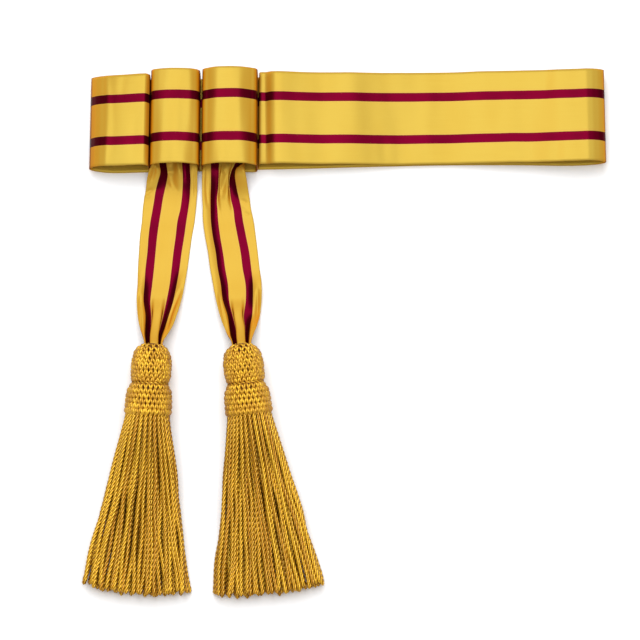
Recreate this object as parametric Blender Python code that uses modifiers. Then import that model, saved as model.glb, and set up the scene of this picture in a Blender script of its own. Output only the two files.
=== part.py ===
"""A waist sash laid flat: a closed ribbon waistband, two ribbon loops, two tails and two tassels.

Metres, +Z up. The origin is on the surface that the sash rests on, under the middle of the
waistband. +X runs along the waistband towards its right fold, and the tassels point along -Y.
"""

import math
from collections import namedtuple

import bmesh
import bpy
import numpy as np
from mathutils import Matrix, Vector

# Cloth and clearances
CLOTH = 0.0012
SEAM_GAP = 0.0003

# Waistband ribbon, pressed flat as a closed loop
BAND_WIDTH = 0.0862
BAND_LEFT = -0.2299
BAND_RIGHT = 0.2304
RIGHT_FOLD_RADIUS = 0.0105
LEFT_FOLD_RADIUS = 0.0060
TUCK_RADIUS = 0.0090
CROWN_RADIUS = 0.0035
INNER_BEND_RADIUS = 0.0020
BAND_ROWS = 4
BACK_STEPS = 14
FRONT_STEPS = 20
FOLD_STEPS = 8
BEND_STEPS = 4

# Ribbon loops
LOOP_LEFT_EDGE = -0.1759
LOOP_MEETING = -0.1303
LOOP_RIGHT_EDGE = -0.0791
SHOULDER_RADIUS = 0.0065
HEEL_RADIUS = 0.0030
SHOULDER_SWEEP = 76
LOOP_ROWS = 3
CROWN_STEPS = 8

# Tails
TAIL_RIBBON = 0.0473
TAIL_WAVES = 2
TAIL_POINTS_ACROSS = 17
SECTION_STEPS = 240
STEEPEST_FOLD = 2.1
HALVINGS = 40
TAIL_STEP = 0.0115
TAIL_TURNS_FROM = -0.0600
TAIL_TURNS_OVER = 0.0500

# Tassels
HEAD_AXIS_HEIGHT = 0.0186
KNOB_LENGTH = 0.0354
COLLAR_LENGTH = 0.0273
KNOB_ROWS = 9
COLLAR_ROWS = 7
ROW_DEPTH = 0.0007
TURNED_STEPS = 22
SKIRT_LENGTH = 0.1555
STRAND_RADIUS = 0.0018
STRAND_SPACING = 0.0041
STRAND_FLOOR_GAP = 0.0003
STRAND_ROOT = 0.0030
STRAND_ROWS = 6
SETTLING_STEPS = 80
SETTLING_SHARE = 0.6
RING_SPACING = 0.0045
STRAND_RINGS = 4
SKIRT_LAYERS = (20, 21, 20)
SKIRT_THICKNESS = 0.0135
LAYER_SHRINK = 0.035
FLATTENING = 1.1
LYING_FROM = 0.33
WELD = 0.00001

Height = namedtuple("Height", "x height")
Rise = namedtuple("Rise", "inward height")
Drift = namedtuple("Drift", "x across")
Loop = namedtuple("Loop", "left right near far crown shoulder")
TailRow = namedtuple("TailRow", "y left right lift")
Radius = namedtuple("Radius", "along radius")
Tassel = namedtuple("Tassel", "x y lean fan stray")

# Height of the band's front layer, from its right fold to the tuck beside the loops
FRONT_HEIGHTS = (
    Height(0.2199, 0.0210),
    Height(0.2080, 0.0209),
    Height(0.1860, 0.0181),
    Height(0.1515, 0.0128),
    Height(0.1177, 0.0082),
    Height(0.0846, 0.0056),
    Height(0.0560, 0.0063),
    Height(0.0270, 0.0085),
    Height(-0.0153, 0.0130),
    Height(-0.0421, 0.0156),
    Height(-0.0600, 0.0176),
    Height(-0.0698, 0.0180),
)

# Height of the band's left end, from the crown beside the loops to its fold
LEFT_HEIGHTS = (
    Height(-0.1797, 0.0253),
    Height(-0.1860, 0.0247),
    Height(-0.1928, 0.0235),
    Height(-0.2046, 0.0210),
    Height(-0.2160, 0.0172),
)

# The rounding between the left end and its fold
LEFT_FOLD_RISE = (
    Rise(0.0062, 0.0134),
    Rise(0.0016, 0.0096),
)

# How far the band's middle line strays from straight
BAND_DRIFT = (
    Drift(-0.2300, -0.0040),
    Drift(-0.2160, -0.0050),
    Drift(-0.1770, -0.0052),
    Drift(-0.0790, -0.0032),
    Drift(-0.0420, -0.0016),
    Drift(0.0270, 0.0002),
    Drift(0.0850, 0.0010),
    Drift(0.1500, 0.0004),
    Drift(0.2080, -0.0006),
    Drift(0.2304, 0.0000),
)

LEFT_LOOP = Loop(LOOP_LEFT_EDGE, LOOP_MEETING - SEAM_GAP / 2, -0.0484, 0.0402, 0.0290, 0.0262)
RIGHT_LOOP = Loop(LOOP_MEETING + SEAM_GAP / 2, LOOP_RIGHT_EDGE, -0.0490, 0.0411, 0.0310, 0.0268)

# Each tail from its end inside the loop to the tassel: edges seen from above, lift off the surface
LEFT_TAIL = (
    TailRow(-0.0180, -0.1712, -0.1350, 0.0046),
    TailRow(-0.0430, -0.1738, -0.1331, 0.0046),
    TailRow(-0.0496, -0.1743, -0.1328, 0.0046),
    TailRow(-0.0567, -0.1785, -0.1324, 0.0018),
    TailRow(-0.0707, -0.1811, -0.1334, 0.0000),
    TailRow(-0.0931, -0.1827, -0.1355, 0.0000),
    TailRow(-0.1227, -0.1850, -0.1395, 0.0000),
    TailRow(-0.1521, -0.1857, -0.1433, 0.0000),
    TailRow(-0.1672, -0.1857, -0.1463, 0.0004),
    TailRow(-0.1825, -0.1845, -0.1502, 0.0026),
    TailRow(-0.1945, -0.1822, -0.1542, 0.0062),
    TailRow(-0.2045, -0.1790, -0.1594, 0.0108),
    TailRow(-0.2111, -0.1780, -0.1615, 0.0134),
)
RIGHT_TAIL = (
    TailRow(-0.0180, -0.1268, -0.0895, 0.0046),
    TailRow(-0.0430, -0.1285, -0.0905, 0.0046),
    TailRow(-0.0496, -0.1286, -0.0903, 0.0046),
    TailRow(-0.0567, -0.1296, -0.0900, 0.0018),
    TailRow(-0.0707, -0.1297, -0.0876, 0.0000),
    TailRow(-0.0931, -0.1285, -0.0834, 0.0000),
    TailRow(-0.1227, -0.1240, -0.0795, 0.0000),
    TailRow(-0.1521, -0.1193, -0.0762, 0.0000),
    TailRow(-0.1672, -0.1164, -0.0757, 0.0004),
    TailRow(-0.1825, -0.1126, -0.0774, 0.0026),
    TailRow(-0.1945, -0.1088, -0.0802, 0.0062),
    TailRow(-0.2045, -0.1040, -0.0840, 0.0108),
    TailRow(-0.2109, -0.1012, -0.0846, 0.0134),
)

# Radius of the crocheted head, from the end where the tail goes in
KNOB_PROFILE = (
    Radius(0.0000, 0.0075),
    Radius(0.0028, 0.0118),
    Radius(0.0063, 0.0150),
    Radius(0.0099, 0.0164),
    Radius(0.0150, 0.0174),
    Radius(0.0230, 0.0177),
    Radius(0.0300, 0.0171),
    Radius(0.0354, 0.0158),
)
COLLAR_PROFILE = (
    Radius(0.0000, 0.0160),
    Radius(0.0030, 0.0178),
    Radius(0.0065, 0.0195),
    Radius(0.0110, 0.0201),
    Radius(0.0180, 0.0204),
    Radius(0.0273, 0.0205),
)

# Place of each knob's top, its lean in degrees, half the width of its hem, and how far its
# outermost cord on the left strays
LEFT_TASSEL = Tassel(-0.1698, -0.2118, -3.3, 0.0467, 0.0)
RIGHT_TASSEL = Tassel(-0.0929, -0.2118, 6.85, 0.0483, 0.0026)

GOLD_SATIN = (0.83, 0.56, 0.09)
GOLD_CORD = (0.70, 0.41, 0.04)
SATIN_ROUGHNESS = 0.38
CORD_ROUGHNESS = 0.6


def clear_scene():
    for thing in list(bpy.data.objects):
        bpy.data.objects.remove(thing, do_unlink=True)


def new_collection(name):
    made = bpy.data.collections.new(name)
    bpy.context.scene.collection.children.link(made)
    return made


def cloth_material(name, color, roughness):
    made = bpy.data.materials.new(name)
    made.use_nodes = True
    shader = made.node_tree.nodes["Principled BSDF"]
    shader.inputs["Base Color"].default_value = (*color, 1.0)
    shader.inputs["Roughness"].default_value = roughness
    shader.inputs["Metallic"].default_value = 0.0
    return made


def smooth_reading(rows, at):
    """Reads the second column of a table at the given places of its first, on a smooth curve."""
    places = np.array([row[0] for row in rows], dtype=float)
    values = np.array([row[1] for row in rows], dtype=float)
    if places[0] > places[-1]:
        places = places[::-1]
        values = values[::-1]
    slopes = np.gradient(values, places)
    at = np.clip(np.atleast_1d(np.asarray(at, dtype=float)), places[0], places[-1])
    cell = np.clip(np.searchsorted(places, at, side="right") - 1, 0, len(places) - 2)
    span = places[cell + 1] - places[cell]
    t = (at - places[cell]) / span
    rise = values[cell] * (2 * t**3 - 3 * t**2 + 1) + values[cell + 1] * (3 * t**2 - 2 * t**3)
    bend = slopes[cell] * (t**3 - 2 * t**2 + t) + slopes[cell + 1] * (t**3 - t**2)
    return rise + bend * span


def arc(centre_x, centre_z, radius, start, end, steps):
    """Points of an arc in the XZ plane, with angles in degrees from +X towards +Z."""
    angles = np.radians(np.linspace(start, end, steps + 1))
    return [(centre_x + radius * math.cos(a), centre_z + radius * math.sin(a)) for a in angles]


def grid_mesh(name, rows, closed):
    """A sheet through rows of points. A closed sheet joins the last point of a row to its first."""
    mesh = bpy.data.meshes.new(name)
    sheet = bmesh.new()
    laid = [[sheet.verts.new(point) for point in row] for row in rows]
    across = len(rows[0])
    steps = across if closed else across - 1
    for one, two in zip(laid[:-1], laid[1:]):
        for i in range(steps):
            j = (i + 1) % across
            sheet.faces.new((one[j], one[i], two[i], two[j]))
    sheet.to_mesh(mesh)
    sheet.free()
    return mesh


def add_object(name, mesh, collection, material):
    made = bpy.data.objects.new(name, mesh)
    collection.objects.link(made)
    if material is not None:
        mesh.materials.append(material)
    return made


def give_wall(thing, offset):
    wall = thing.modifiers.new("Wall", "SOLIDIFY")
    wall.thickness = CLOTH
    wall.offset = offset
    wall.use_even_offset = True
    wall.use_quality_normals = True
    thing.data.shade_smooth()


def band_outline():
    """The waistband's outer skin in the XZ plane, anticlockwise as seen from -Y."""
    run_height = CLOTH + SEAM_GAP + CLOTH
    tuck_x = LOOP_RIGHT_EDGE + SEAM_GAP
    crown_x = LOOP_LEFT_EDGE - SEAM_GAP
    left_end = BAND_LEFT + LEFT_FOLD_RADIUS
    right_end = BAND_RIGHT - RIGHT_FOLD_RADIUS

    # The back layer, flat on the surface, and the right fold
    points = [(x, 0.0) for x in np.linspace(left_end, right_end, BACK_STEPS + 1)[:-1]]
    points += arc(right_end, RIGHT_FOLD_RADIUS, RIGHT_FOLD_RADIUS, -90, 90, FOLD_STEPS)[:-1]

    # The front layer, down to the tuck beside the right loop
    front_x = np.linspace(FRONT_HEIGHTS[0].x, FRONT_HEIGHTS[-1].x, FRONT_STEPS)
    points += list(zip(front_x, smooth_reading(FRONT_HEIGHTS, front_x)))
    tuck_z = FRONT_HEIGHTS[-1].height - TUCK_RADIUS
    points += arc(tuck_x + TUCK_RADIUS, tuck_z, TUCK_RADIUS, 90, 180, BEND_STEPS)[1:]

    # The run under the loops
    low = run_height + INNER_BEND_RADIUS
    run_right = tuck_x - INNER_BEND_RADIUS
    run_left = crown_x + INNER_BEND_RADIUS
    points += arc(run_right, low, INNER_BEND_RADIUS, 0, -90, 2)
    points += [(x, run_height) for x in np.linspace(run_right, run_left, 5)[1:-1]]
    points += arc(run_left, low, INNER_BEND_RADIUS, 270, 180, 2)

    # The left end, from its crown to its fold
    crown_z = LEFT_HEIGHTS[0].height - CROWN_RADIUS
    points += arc(crown_x - CROWN_RADIUS, crown_z, CROWN_RADIUS, 0, 90, BEND_STEPS)
    left_x = np.linspace(LEFT_HEIGHTS[0].x, LEFT_HEIGHTS[-1].x, 6)
    points += list(zip(left_x, smooth_reading(LEFT_HEIGHTS, left_x)))[1:]
    points += [(BAND_LEFT + row.inward, row.height) for row in LEFT_FOLD_RISE]
    points += arc(left_end, LEFT_FOLD_RADIUS, LEFT_FOLD_RADIUS, 180, 270, 3)[:-1]
    return points


def make_band(collection):
    outline = band_outline()
    places = np.array([x for x, _ in outline])
    drift = smooth_reading(BAND_DRIFT, places)
    rows = []
    for share in np.linspace(-0.5, 0.5, BAND_ROWS):
        row = [
            (x, float(stray) + share * BAND_WIDTH, z) for (x, z), stray in zip(outline, drift)
        ]
        rows.append(row)
    mesh = grid_mesh("waist_band", rows, closed=True)
    material = cloth_material("band_satin", GOLD_SATIN, SATIN_ROUGHNESS)
    band = add_object("waist_band", mesh, collection, material)
    give_wall(band, -1.0)
    return band


def loop_outline(loop):
    """A loop's outer skin in the XZ plane, anticlockwise as seen from -Y."""
    base = 2 * (CLOTH + SEAM_GAP)
    inner_left = loop.left + HEEL_RADIUS
    inner_right = loop.right - HEEL_RADIUS
    points = arc(inner_right, base + HEEL_RADIUS, HEEL_RADIUS, -90, 0, 2)
    top_corner = loop.shoulder - SHOULDER_RADIUS
    radius = SHOULDER_RADIUS
    points += arc(loop.right - radius, top_corner, radius, 0, SHOULDER_SWEEP, BEND_STEPS)
    right_top = points[-1]
    left_corner = arc(
        loop.left + radius, top_corner, radius, 180 - SHOULDER_SWEEP, 180, BEND_STEPS
    )
    left_top = left_corner[0]
    for share in np.linspace(0.0, 1.0, CROWN_STEPS + 1)[1:-1]:
        x = right_top[0] + share * (left_top[0] - right_top[0])
        bulge = 1 - (2 * share - 1) ** 2
        points.append((x, right_top[1] + bulge * (loop.crown - right_top[1])))
    points += left_corner
    points += arc(inner_left, base + HEEL_RADIUS, HEEL_RADIUS, 180, 270, 2)
    middle = (loop.left + loop.right) / 2
    points.append((middle, base))
    return points


def make_loop(name, loop, collection):
    outline = loop_outline(loop)
    rows = []
    for y in np.linspace(loop.near, loop.far, LOOP_ROWS):
        rows.append([(x, float(y), z) for x, z in outline])
    mesh = grid_mesh(name, rows, closed=True)
    made = add_object(name, mesh, collection, cloth_material(name + "_satin", GOLD_SATIN, SATIN_ROUGHNESS))
    give_wall(made, -1.0)
    return made


def folded_section(seen_width):
    """A ribbon's section when its width is drawn in by even folds: x across and z up, length kept."""
    along = (np.arange(SECTION_STEPS) + 0.5) / SECTION_STEPS - 0.5
    step = TAIL_RIBBON / SECTION_STEPS

    def bent(angle):
        slope = -angle * np.sin(2 * math.pi * TAIL_WAVES * along)
        x = np.concatenate([[0.0], np.cumsum(np.cos(slope))]) * step
        z = np.concatenate([[0.0], np.cumsum(np.sin(slope))]) * step
        return x - x[-1] / 2, z - z.min()

    low = 0.0
    high = STEEPEST_FOLD
    for _ in range(HALVINGS):
        angle = (low + high) / 2
        x, _ = bent(angle)
        if 2 * x[-1] > seen_width:
            low = angle
        else:
            high = angle
    x, z = bent(low)
    picked = np.linspace(0, SECTION_STEPS, TAIL_POINTS_ACROSS).round().astype(int)
    return x[picked], z[picked]


def tail_rows(table):
    """Points of a tail's middle skin, a row for each section across its route."""
    y_all = [table[0].y]
    for one, two in zip(table[:-1], table[1:]):
        steps = math.ceil((one.y - two.y) / TAIL_STEP)
        y_all += list(np.linspace(one.y, two.y, steps + 1)[1:])
    y_all = np.array(y_all)
    left = smooth_reading([(row.y, row.left) for row in table], y_all)
    right = smooth_reading([(row.y, row.right) for row in table], y_all)
    lift = smooth_reading([(row.y, row.lift) for row in table], y_all)
    centre = (left + right) / 2
    turning = np.clip((TAIL_TURNS_FROM - y_all) / TAIL_TURNS_OVER, 0.0, 1.0)
    turn = np.gradient(centre, y_all) * turning
    rows = []
    for x0, y0, width, rise, slant in zip(centre, y_all, right - left, lift, turn):
        across, up = folded_section(float(width))
        cosine = 1 / math.hypot(1, slant)
        floor = CLOTH / 2 + max(0.0, float(rise))
        rows.append(
            [
                (x0 + a * cosine, y0 - a * slant * cosine, floor + z)
                for a, z in zip(across, up)
            ]
        )
    return rows


def make_tail(name, table, collection):
    mesh = grid_mesh(name, tail_rows(table), closed=False)
    made = add_object(name, mesh, collection, cloth_material(name + "_satin", GOLD_SATIN, SATIN_ROUGHNESS))
    give_wall(made, 0.0)
    return made


def corded_profile(table, rows):
    """A turned profile whose rows of cord stand out by ROW_DEPTH, from its top down."""
    length = table[-1].along
    edges = np.linspace(0, length, 2 * rows + 1)
    radii = smooth_reading([(row.along, row.radius) for row in table], edges)
    return [
        (float(r) - (ROW_DEPTH if i % 2 == 0 else 0.0), -float(s))
        for i, (s, r) in enumerate(zip(edges, radii))
    ]


def turned_mesh(name, profile):
    """A closed solid turned about Z, as a plain mesh, from a profile with a Screw modifier."""
    mesh = bpy.data.meshes.new(name)
    points = [(0.0, 0.0, profile[0][1])]
    points += [(radius, 0.0, z) for radius, z in profile]
    points.append((0.0, 0.0, profile[-1][1]))
    edges = [(i, i + 1) for i in range(len(points) - 1)]
    mesh.from_pydata(points, edges, [])
    turning = bpy.data.objects.new(name + "_profile", mesh)
    bpy.context.scene.collection.objects.link(turning)
    screw = turning.modifiers.new("Turn", "SCREW")
    screw.steps = TURNED_STEPS
    screw.render_steps = TURNED_STEPS
    screw.use_merge_vertices = True
    screw.merge_threshold = WELD
    graph = bpy.context.evaluated_depsgraph_get()
    graph.update()
    made = bpy.data.meshes.new_from_object(turning.evaluated_get(graph))
    made.name = name
    bpy.data.objects.remove(turning, do_unlink=True)
    bpy.data.meshes.remove(mesh)
    return made


def tassel_frame(tassel, along):
    """Places a turned piece: its local -Z runs along the tassel and its local -Y points up."""
    lean = math.radians(tassel.lean)
    onward = Vector((math.sin(lean), -math.cos(lean), 0.0))
    sideways = Vector((math.cos(lean), math.sin(lean), 0.0))
    place = Vector((tassel.x, tassel.y, HEAD_AXIS_HEIGHT)) + onward * along
    turn = Matrix((sideways, (0, 0, -1), -onward)).transposed()
    return Matrix.Translation(place) @ turn.to_4x4()


def rest_on_surface(mesh, placed):
    """Moves a placed mesh into the world and flattens what would sink below the surface."""
    mesh.transform(placed)
    for vertex in mesh.vertices:
        vertex.co.z = max(vertex.co.z, 0.0)


def make_knob(name, tassel, collection):
    mesh = turned_mesh(name, corded_profile(KNOB_PROFILE, KNOB_ROWS))
    rest_on_surface(mesh, tassel_frame(tassel, 0.0))
    mesh.shade_smooth()
    return add_object(name, mesh, collection, cloth_material(name + "_cord", GOLD_CORD, CORD_ROUGHNESS))


def strand_roots():
    """Places of the cords in the collar's lower face, in rings about its centre."""
    roots = [(0.0, 0.0)]
    for ring in range(1, STRAND_RINGS + 1):
        count = 6 * ring
        for i in range(count):
            angle = 2 * math.pi * (i + 0.5 * (ring % 2)) / count
            radius = ring * RING_SPACING
            roots.append((radius * math.cos(angle), radius * math.sin(angle)))
    return roots


def strand_ends():
    """Pairs each root with its place at the hem: across in -1 to 1 and the layer's height share."""
    roots = sorted(strand_roots(), key=lambda root: (round(root[1], 6), root[0]))
    paired = []
    start = 0
    for layer, count in enumerate(SKIRT_LAYERS):
        group = sorted(roots[start : start + count])
        start += count
        reach = 1.0 - LAYER_SHRINK * layer
        for i, root in enumerate(group):
            across = reach * (2 * (i + 0.5) / count - 1)
            paired.append((root, across, (layer + 0.5) / len(SKIRT_LAYERS)))
    return paired


def settled(places, lowest):
    """Pushes the cords of one cross-section apart until they lie clear of each other."""
    placed = np.array(places)
    own = np.eye(len(placed))
    for _ in range(SETTLING_STEPS):
        between = placed[:, None] - placed[None]
        distance = np.hypot(between[..., 0], between[..., 1]) + own
        short = np.clip(STRAND_SPACING - distance, 0.0, None) * (1 - own)
        push = between / distance[..., None] * short[..., None] / 2
        placed += SETTLING_SHARE * push.sum(axis=1)
        placed[:, 1] = np.maximum(placed[:, 1], lowest)
    return placed


def strand_paths(tassel):
    """The cords from inside the collar to the hem, in the tassel's frame: x, height and along."""
    head = COLLAR_PROFILE[-1].radius
    lowest = STRAND_RADIUS + STRAND_FLOOR_GAP
    pairs = strand_ends()
    roots = np.array([root for root, _, _ in pairs])
    end_x = np.array([across for _, across, _ in pairs]) * tassel.fan
    end_share = np.array([share for _, _, share in pairs])
    root_share = (roots[:, 1] + head) / (2 * head)
    run = np.sqrt(SKIRT_LENGTH**2 - (end_x - roots[:, 0]) ** 2)
    rows = []
    for t in np.linspace(0.0, 1.0, STRAND_ROWS):
        spread = head + (tassel.fan - head) * t
        thick = max(2 * head * (head / spread) ** FLATTENING, SKIRT_THICKNESS)
        x = roots[:, 0] + (end_x - roots[:, 0]) * t
        lying = thick * (root_share + (end_share - root_share) * t)
        standing = HEAD_AXIS_HEIGHT + roots[:, 1]
        height = standing + (lying - standing) * min(1.0, t / LYING_FROM)
        placed = settled(np.column_stack([x, np.maximum(height, lowest)]), lowest)
        rows.append(np.column_stack([placed, t * run]))
    root_row = rows[0].copy()
    root_row[:, 2] = -STRAND_ROOT
    paths = np.stack([root_row] + rows, axis=1)
    leftmost = int(np.argmin(end_x))
    paths[leftmost, 1:, 0] -= tassel.stray * np.linspace(0.0, 1.0, STRAND_ROWS)
    return paths


def strand_mesh(name, tassel):
    """Every cord of a skirt as a closed four-sided bar, in one mesh."""
    curve = bpy.data.curves.new(name, "CURVE")
    curve.dimensions = "3D"
    curve.twist_mode = "Z_UP"
    curve.bevel_depth = STRAND_RADIUS
    curve.bevel_resolution = 0
    curve.use_fill_caps = True
    placed = tassel_frame(tassel, KNOB_LENGTH + COLLAR_LENGTH)
    for path in strand_paths(tassel):
        spline = curve.splines.new("POLY")
        spline.points.add(len(path) - 1)
        for knot, (x, height, along) in zip(spline.points, path):
            point = placed @ Vector((x, HEAD_AXIS_HEIGHT - height, -along))
            knot.co = (*point, 1.0)
    bars = bpy.data.objects.new(name, curve)
    bpy.context.scene.collection.objects.link(bars)
    graph = bpy.context.evaluated_depsgraph_get()
    graph.update()
    mesh = bpy.data.meshes.new_from_object(bars.evaluated_get(graph))
    mesh.name = name
    bpy.data.objects.remove(bars, do_unlink=True)
    bpy.data.curves.remove(curve)
    welded = bmesh.new()
    welded.from_mesh(mesh)
    bmesh.ops.remove_doubles(welded, verts=welded.verts, dist=WELD)
    bmesh.ops.recalc_face_normals(welded, faces=welded.faces)
    welded.to_mesh(mesh)
    welded.free()
    return mesh


def make_skirt(name, tassel, collection, helpers):
    """The collar with its cords fused into its lower face."""
    mesh = turned_mesh(name, corded_profile(COLLAR_PROFILE, COLLAR_ROWS))
    rest_on_surface(mesh, tassel_frame(tassel, KNOB_LENGTH + SEAM_GAP))
    collar = add_object(name, mesh, collection, cloth_material(name + "_cord", GOLD_CORD, CORD_ROUGHNESS))
    cords = add_object(name + "_cords", strand_mesh(name + "_cords", tassel), helpers, None)
    cords.hide_render = True
    cords.display_type = "WIRE"
    union = collar.modifiers.new("Cords", "BOOLEAN")
    union.operation = "UNION"
    union.solver = "EXACT"
    union.object = cords
    return collar


def main():
    clear_scene()
    sash = new_collection("waist_sash")
    helpers = new_collection("helpers")
    make_band(sash)
    make_loop("loop_left", LEFT_LOOP, sash)
    make_loop("loop_right", RIGHT_LOOP, sash)
    make_tail("tail_left", LEFT_TAIL, sash)
    make_tail("tail_right", RIGHT_TAIL, sash)
    for side, tassel in (("left", LEFT_TASSEL), ("right", RIGHT_TASSEL)):
        make_knob(f"tassel_{side}_knob", tassel, sash)
        make_skirt(f"tassel_{side}_skirt", tassel, sash, helpers)


main()
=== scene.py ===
import math

import bpy
import numpy as np
from mathutils import Matrix, Vector


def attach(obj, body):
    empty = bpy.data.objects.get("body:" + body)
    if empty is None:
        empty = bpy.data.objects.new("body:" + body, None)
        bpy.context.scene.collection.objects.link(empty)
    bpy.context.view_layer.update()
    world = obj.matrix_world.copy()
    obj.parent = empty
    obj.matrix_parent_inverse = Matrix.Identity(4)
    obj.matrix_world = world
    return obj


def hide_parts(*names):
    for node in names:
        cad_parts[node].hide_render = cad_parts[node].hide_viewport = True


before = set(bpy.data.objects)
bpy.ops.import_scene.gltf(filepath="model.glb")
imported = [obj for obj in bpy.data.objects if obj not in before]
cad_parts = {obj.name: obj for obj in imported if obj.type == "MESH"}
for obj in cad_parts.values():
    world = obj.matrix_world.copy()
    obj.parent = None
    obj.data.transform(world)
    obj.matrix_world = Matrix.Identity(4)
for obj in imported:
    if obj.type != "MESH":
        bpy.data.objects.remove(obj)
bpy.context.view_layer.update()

print("frame loaded with", len(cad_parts), "nodes")


# Node trees

class Value:
    # An output socket, so that node maths reads as arithmetic.
    def __init__(self, bench, socket):
        self.bench = bench
        self.socket = socket

    def output(self, name):
        return Value(self.bench, self.socket.node.outputs[name])


def arithmetic(operation, swapped=False):
    def method(self, other):
        pair = (other, self) if swapped else (self, other)
        return self.bench.maths(operation, *pair)
    return method


for label, operation in {"add": "ADD", "sub": "SUBTRACT", "mul": "MULTIPLY", "truediv": "DIVIDE",
                         "pow": "POWER"}.items():
    setattr(Value, "__" + label + "__", arithmetic(operation))
    setattr(Value, "__r" + label + "__", arithmetic(operation, swapped=True))


class Bench:
    # Adds nodes to one tree.
    def __init__(self, tree):
        self.tree = tree

    # settings go to the node itself, sockets are linked or given a value
    def node(self, kind, settings=None, sockets=None, output=0):
        made = self.tree.nodes.new(kind)
        for name, value in (settings or {}).items():
            setattr(made, name, value)
        for name, value in (sockets or {}).items():
            for one in value if isinstance(value, list) else [value]:
                if isinstance(one, Value):
                    self.tree.links.new(one.socket, made.inputs[name])
                else:
                    made.inputs[name].default_value = one
        return Value(self, made.outputs[output]) if made.outputs else made

    def maths(self, operation, *values):
        return self.node("ShaderNodeMath", {"operation": operation}, dict(enumerate(values)))

    def vector(self, operation, *values):
        return self.node("ShaderNodeVectorMath", {"operation": operation}, dict(enumerate(values)))

    def combine(self, x, y, z):
        return self.node("ShaderNodeCombineXYZ", None, {0: x, 1: y, 2: z})

    def step(self, value, low, high, kind="SMOOTHSTEP"):
        # 0 below low, 1 above high, smooth or straight between
        settings = {"interpolation_type": kind}
        return self.node("ShaderNodeMapRange", settings, {0: value, 1: low, 2: high, 3: 0.0, 4: 1.0})

    def mix(self, share, one, two, blend="MIX"):
        settings = {"data_type": "RGBA", "blend_type": blend}
        return self.node("ShaderNodeMix", settings, {0: share, 6: one, 7: two}, 2)

    def noise(self, vector, scale=1.0, detail=2.0):
        sockets = {"Vector": vector, "Scale": scale, "Detail": detail}
        return self.node("ShaderNodeTexNoise", None, sockets)

    def split(self, vector, part=0):
        # one of the three parts of a vector
        return self.node("ShaderNodeSeparateXYZ", None, {0: vector}, part)

    def painted(self, name, output="Fac"):
        # an attribute of the mesh, in a finish
        return self.node("ShaderNodeAttribute", {"attribute_name": name}, None, output)

    def bump(self, height, strength):
        sockets = {"Strength": strength, "Distance": 0.001, "Height": height}
        return self.node("ShaderNodeBump", None, sockets)

    def facing(self):
        # 0 where a surface faces the viewer, 1 where it is seen from the side
        return self.node("ShaderNodeLayerWeight", None, {"Blend": 0.5}, 1)

    def named(self, name, kind="FLOAT"):
        # an attribute of the geometry, in a tree
        return self.node("GeometryNodeInputNamedAttribute", {"data_type": kind}, {"Name": name})

    def store(self, geometry, name, value, kind="FLOAT", domain="POINT"):
        settings = {"data_type": kind, "domain": domain}
        sockets = {"Geometry": geometry, "Name": name, "Value": value}
        return self.node("GeometryNodeStoreNamedAttribute", settings, sockets)

    def shift(self, geometry, offset):
        sockets = {"Geometry": geometry, "Offset": offset}
        return self.node("GeometryNodeSetPosition", None, sockets)


def photoColor(red, green, blue):
    # linear values of a colour read as 0 to 255
    shares = [c / 255 for c in (red, green, blue)]
    return (*[s / 12.92 if s <= 0.04045 else ((s + 0.055) / 1.055) ** 2.4 for s in shares], 1.0)


def newFinish(name):
    made = bpy.data.materials.new(name)
    made.use_nodes = True
    made.node_tree.nodes.clear()
    return made, Bench(made.node_tree)


def finishWith(bench, color, roughness, bump, fixed):
    # fixed holds the values that are the same all over
    sockets = {"Base Color": color, "Roughness": roughness, **fixed}
    if bump is not None:
        sockets["Normal"] = bump
    shader = bench.node("ShaderNodeBsdfPrincipled", None, sockets)
    bench.node("ShaderNodeOutputMaterial", None, {"Surface": shader})


def newTree(name, inputs):
    # a Geometry Nodes tree with these named inputs, a seed and a finish
    tree = bpy.data.node_groups.new(name, "GeometryNodeTree")
    tree.interface.new_socket("Geometry", in_out="INPUT", socket_type="NodeSocketGeometry")
    for label, value in {**inputs, "Seed": 1}.items():
        kind = "NodeSocketInt" if isinstance(value, int) else "NodeSocketFloat"
        made = tree.interface.new_socket(label, in_out="INPUT", socket_type=kind)
        made.default_value = value
    tree.interface.new_socket("Finish", in_out="INPUT", socket_type="NodeSocketMaterial")
    tree.interface.new_socket("Geometry", in_out="OUTPUT", socket_type="NodeSocketGeometry")
    bench = Bench(tree)
    entry = bench.node("NodeGroupInput")
    return tree, bench, entry


def closeTree(bench, geometry):
    # every tree ends with real geometry in the finish it is given
    real = bench.node("GeometryNodeRealizeInstances", None, {0: geometry})
    finish = Value(bench, bench.tree.nodes["Group Input"].outputs["Finish"])
    dressed = bench.node("GeometryNodeSetMaterial", None, {"Geometry": real, "Material": finish})
    bench.node("NodeGroupOutput", None, {0: dressed})


def placeObject(name, mesh):
    piece = bpy.data.objects.new(name, mesh)
    bpy.context.scene.collection.objects.link(piece)
    return piece


def grow(name, mesh, tree, values):
    # runs a tree on a mesh and returns what it makes as a plain mesh object
    seed = placeObject(name + "Seed", mesh)
    modifier = seed.modifiers.new("Grow", "NODES")
    modifier.node_group = tree
    identifiers = {s.name: s.identifier for s in tree.interface.items_tree if s.in_out == "INPUT"}
    for label, value in values.items():
        modifier[identifiers[label]] = value
    graph = bpy.context.evaluated_depsgraph_get()
    graph.update()
    grown = bpy.data.meshes.new_from_object(seed.evaluated_get(graph))
    bpy.data.objects.remove(seed, do_unlink=True)
    grown.name = name
    return placeObject(name, grown)


# Reading tables and shaping lines

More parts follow.
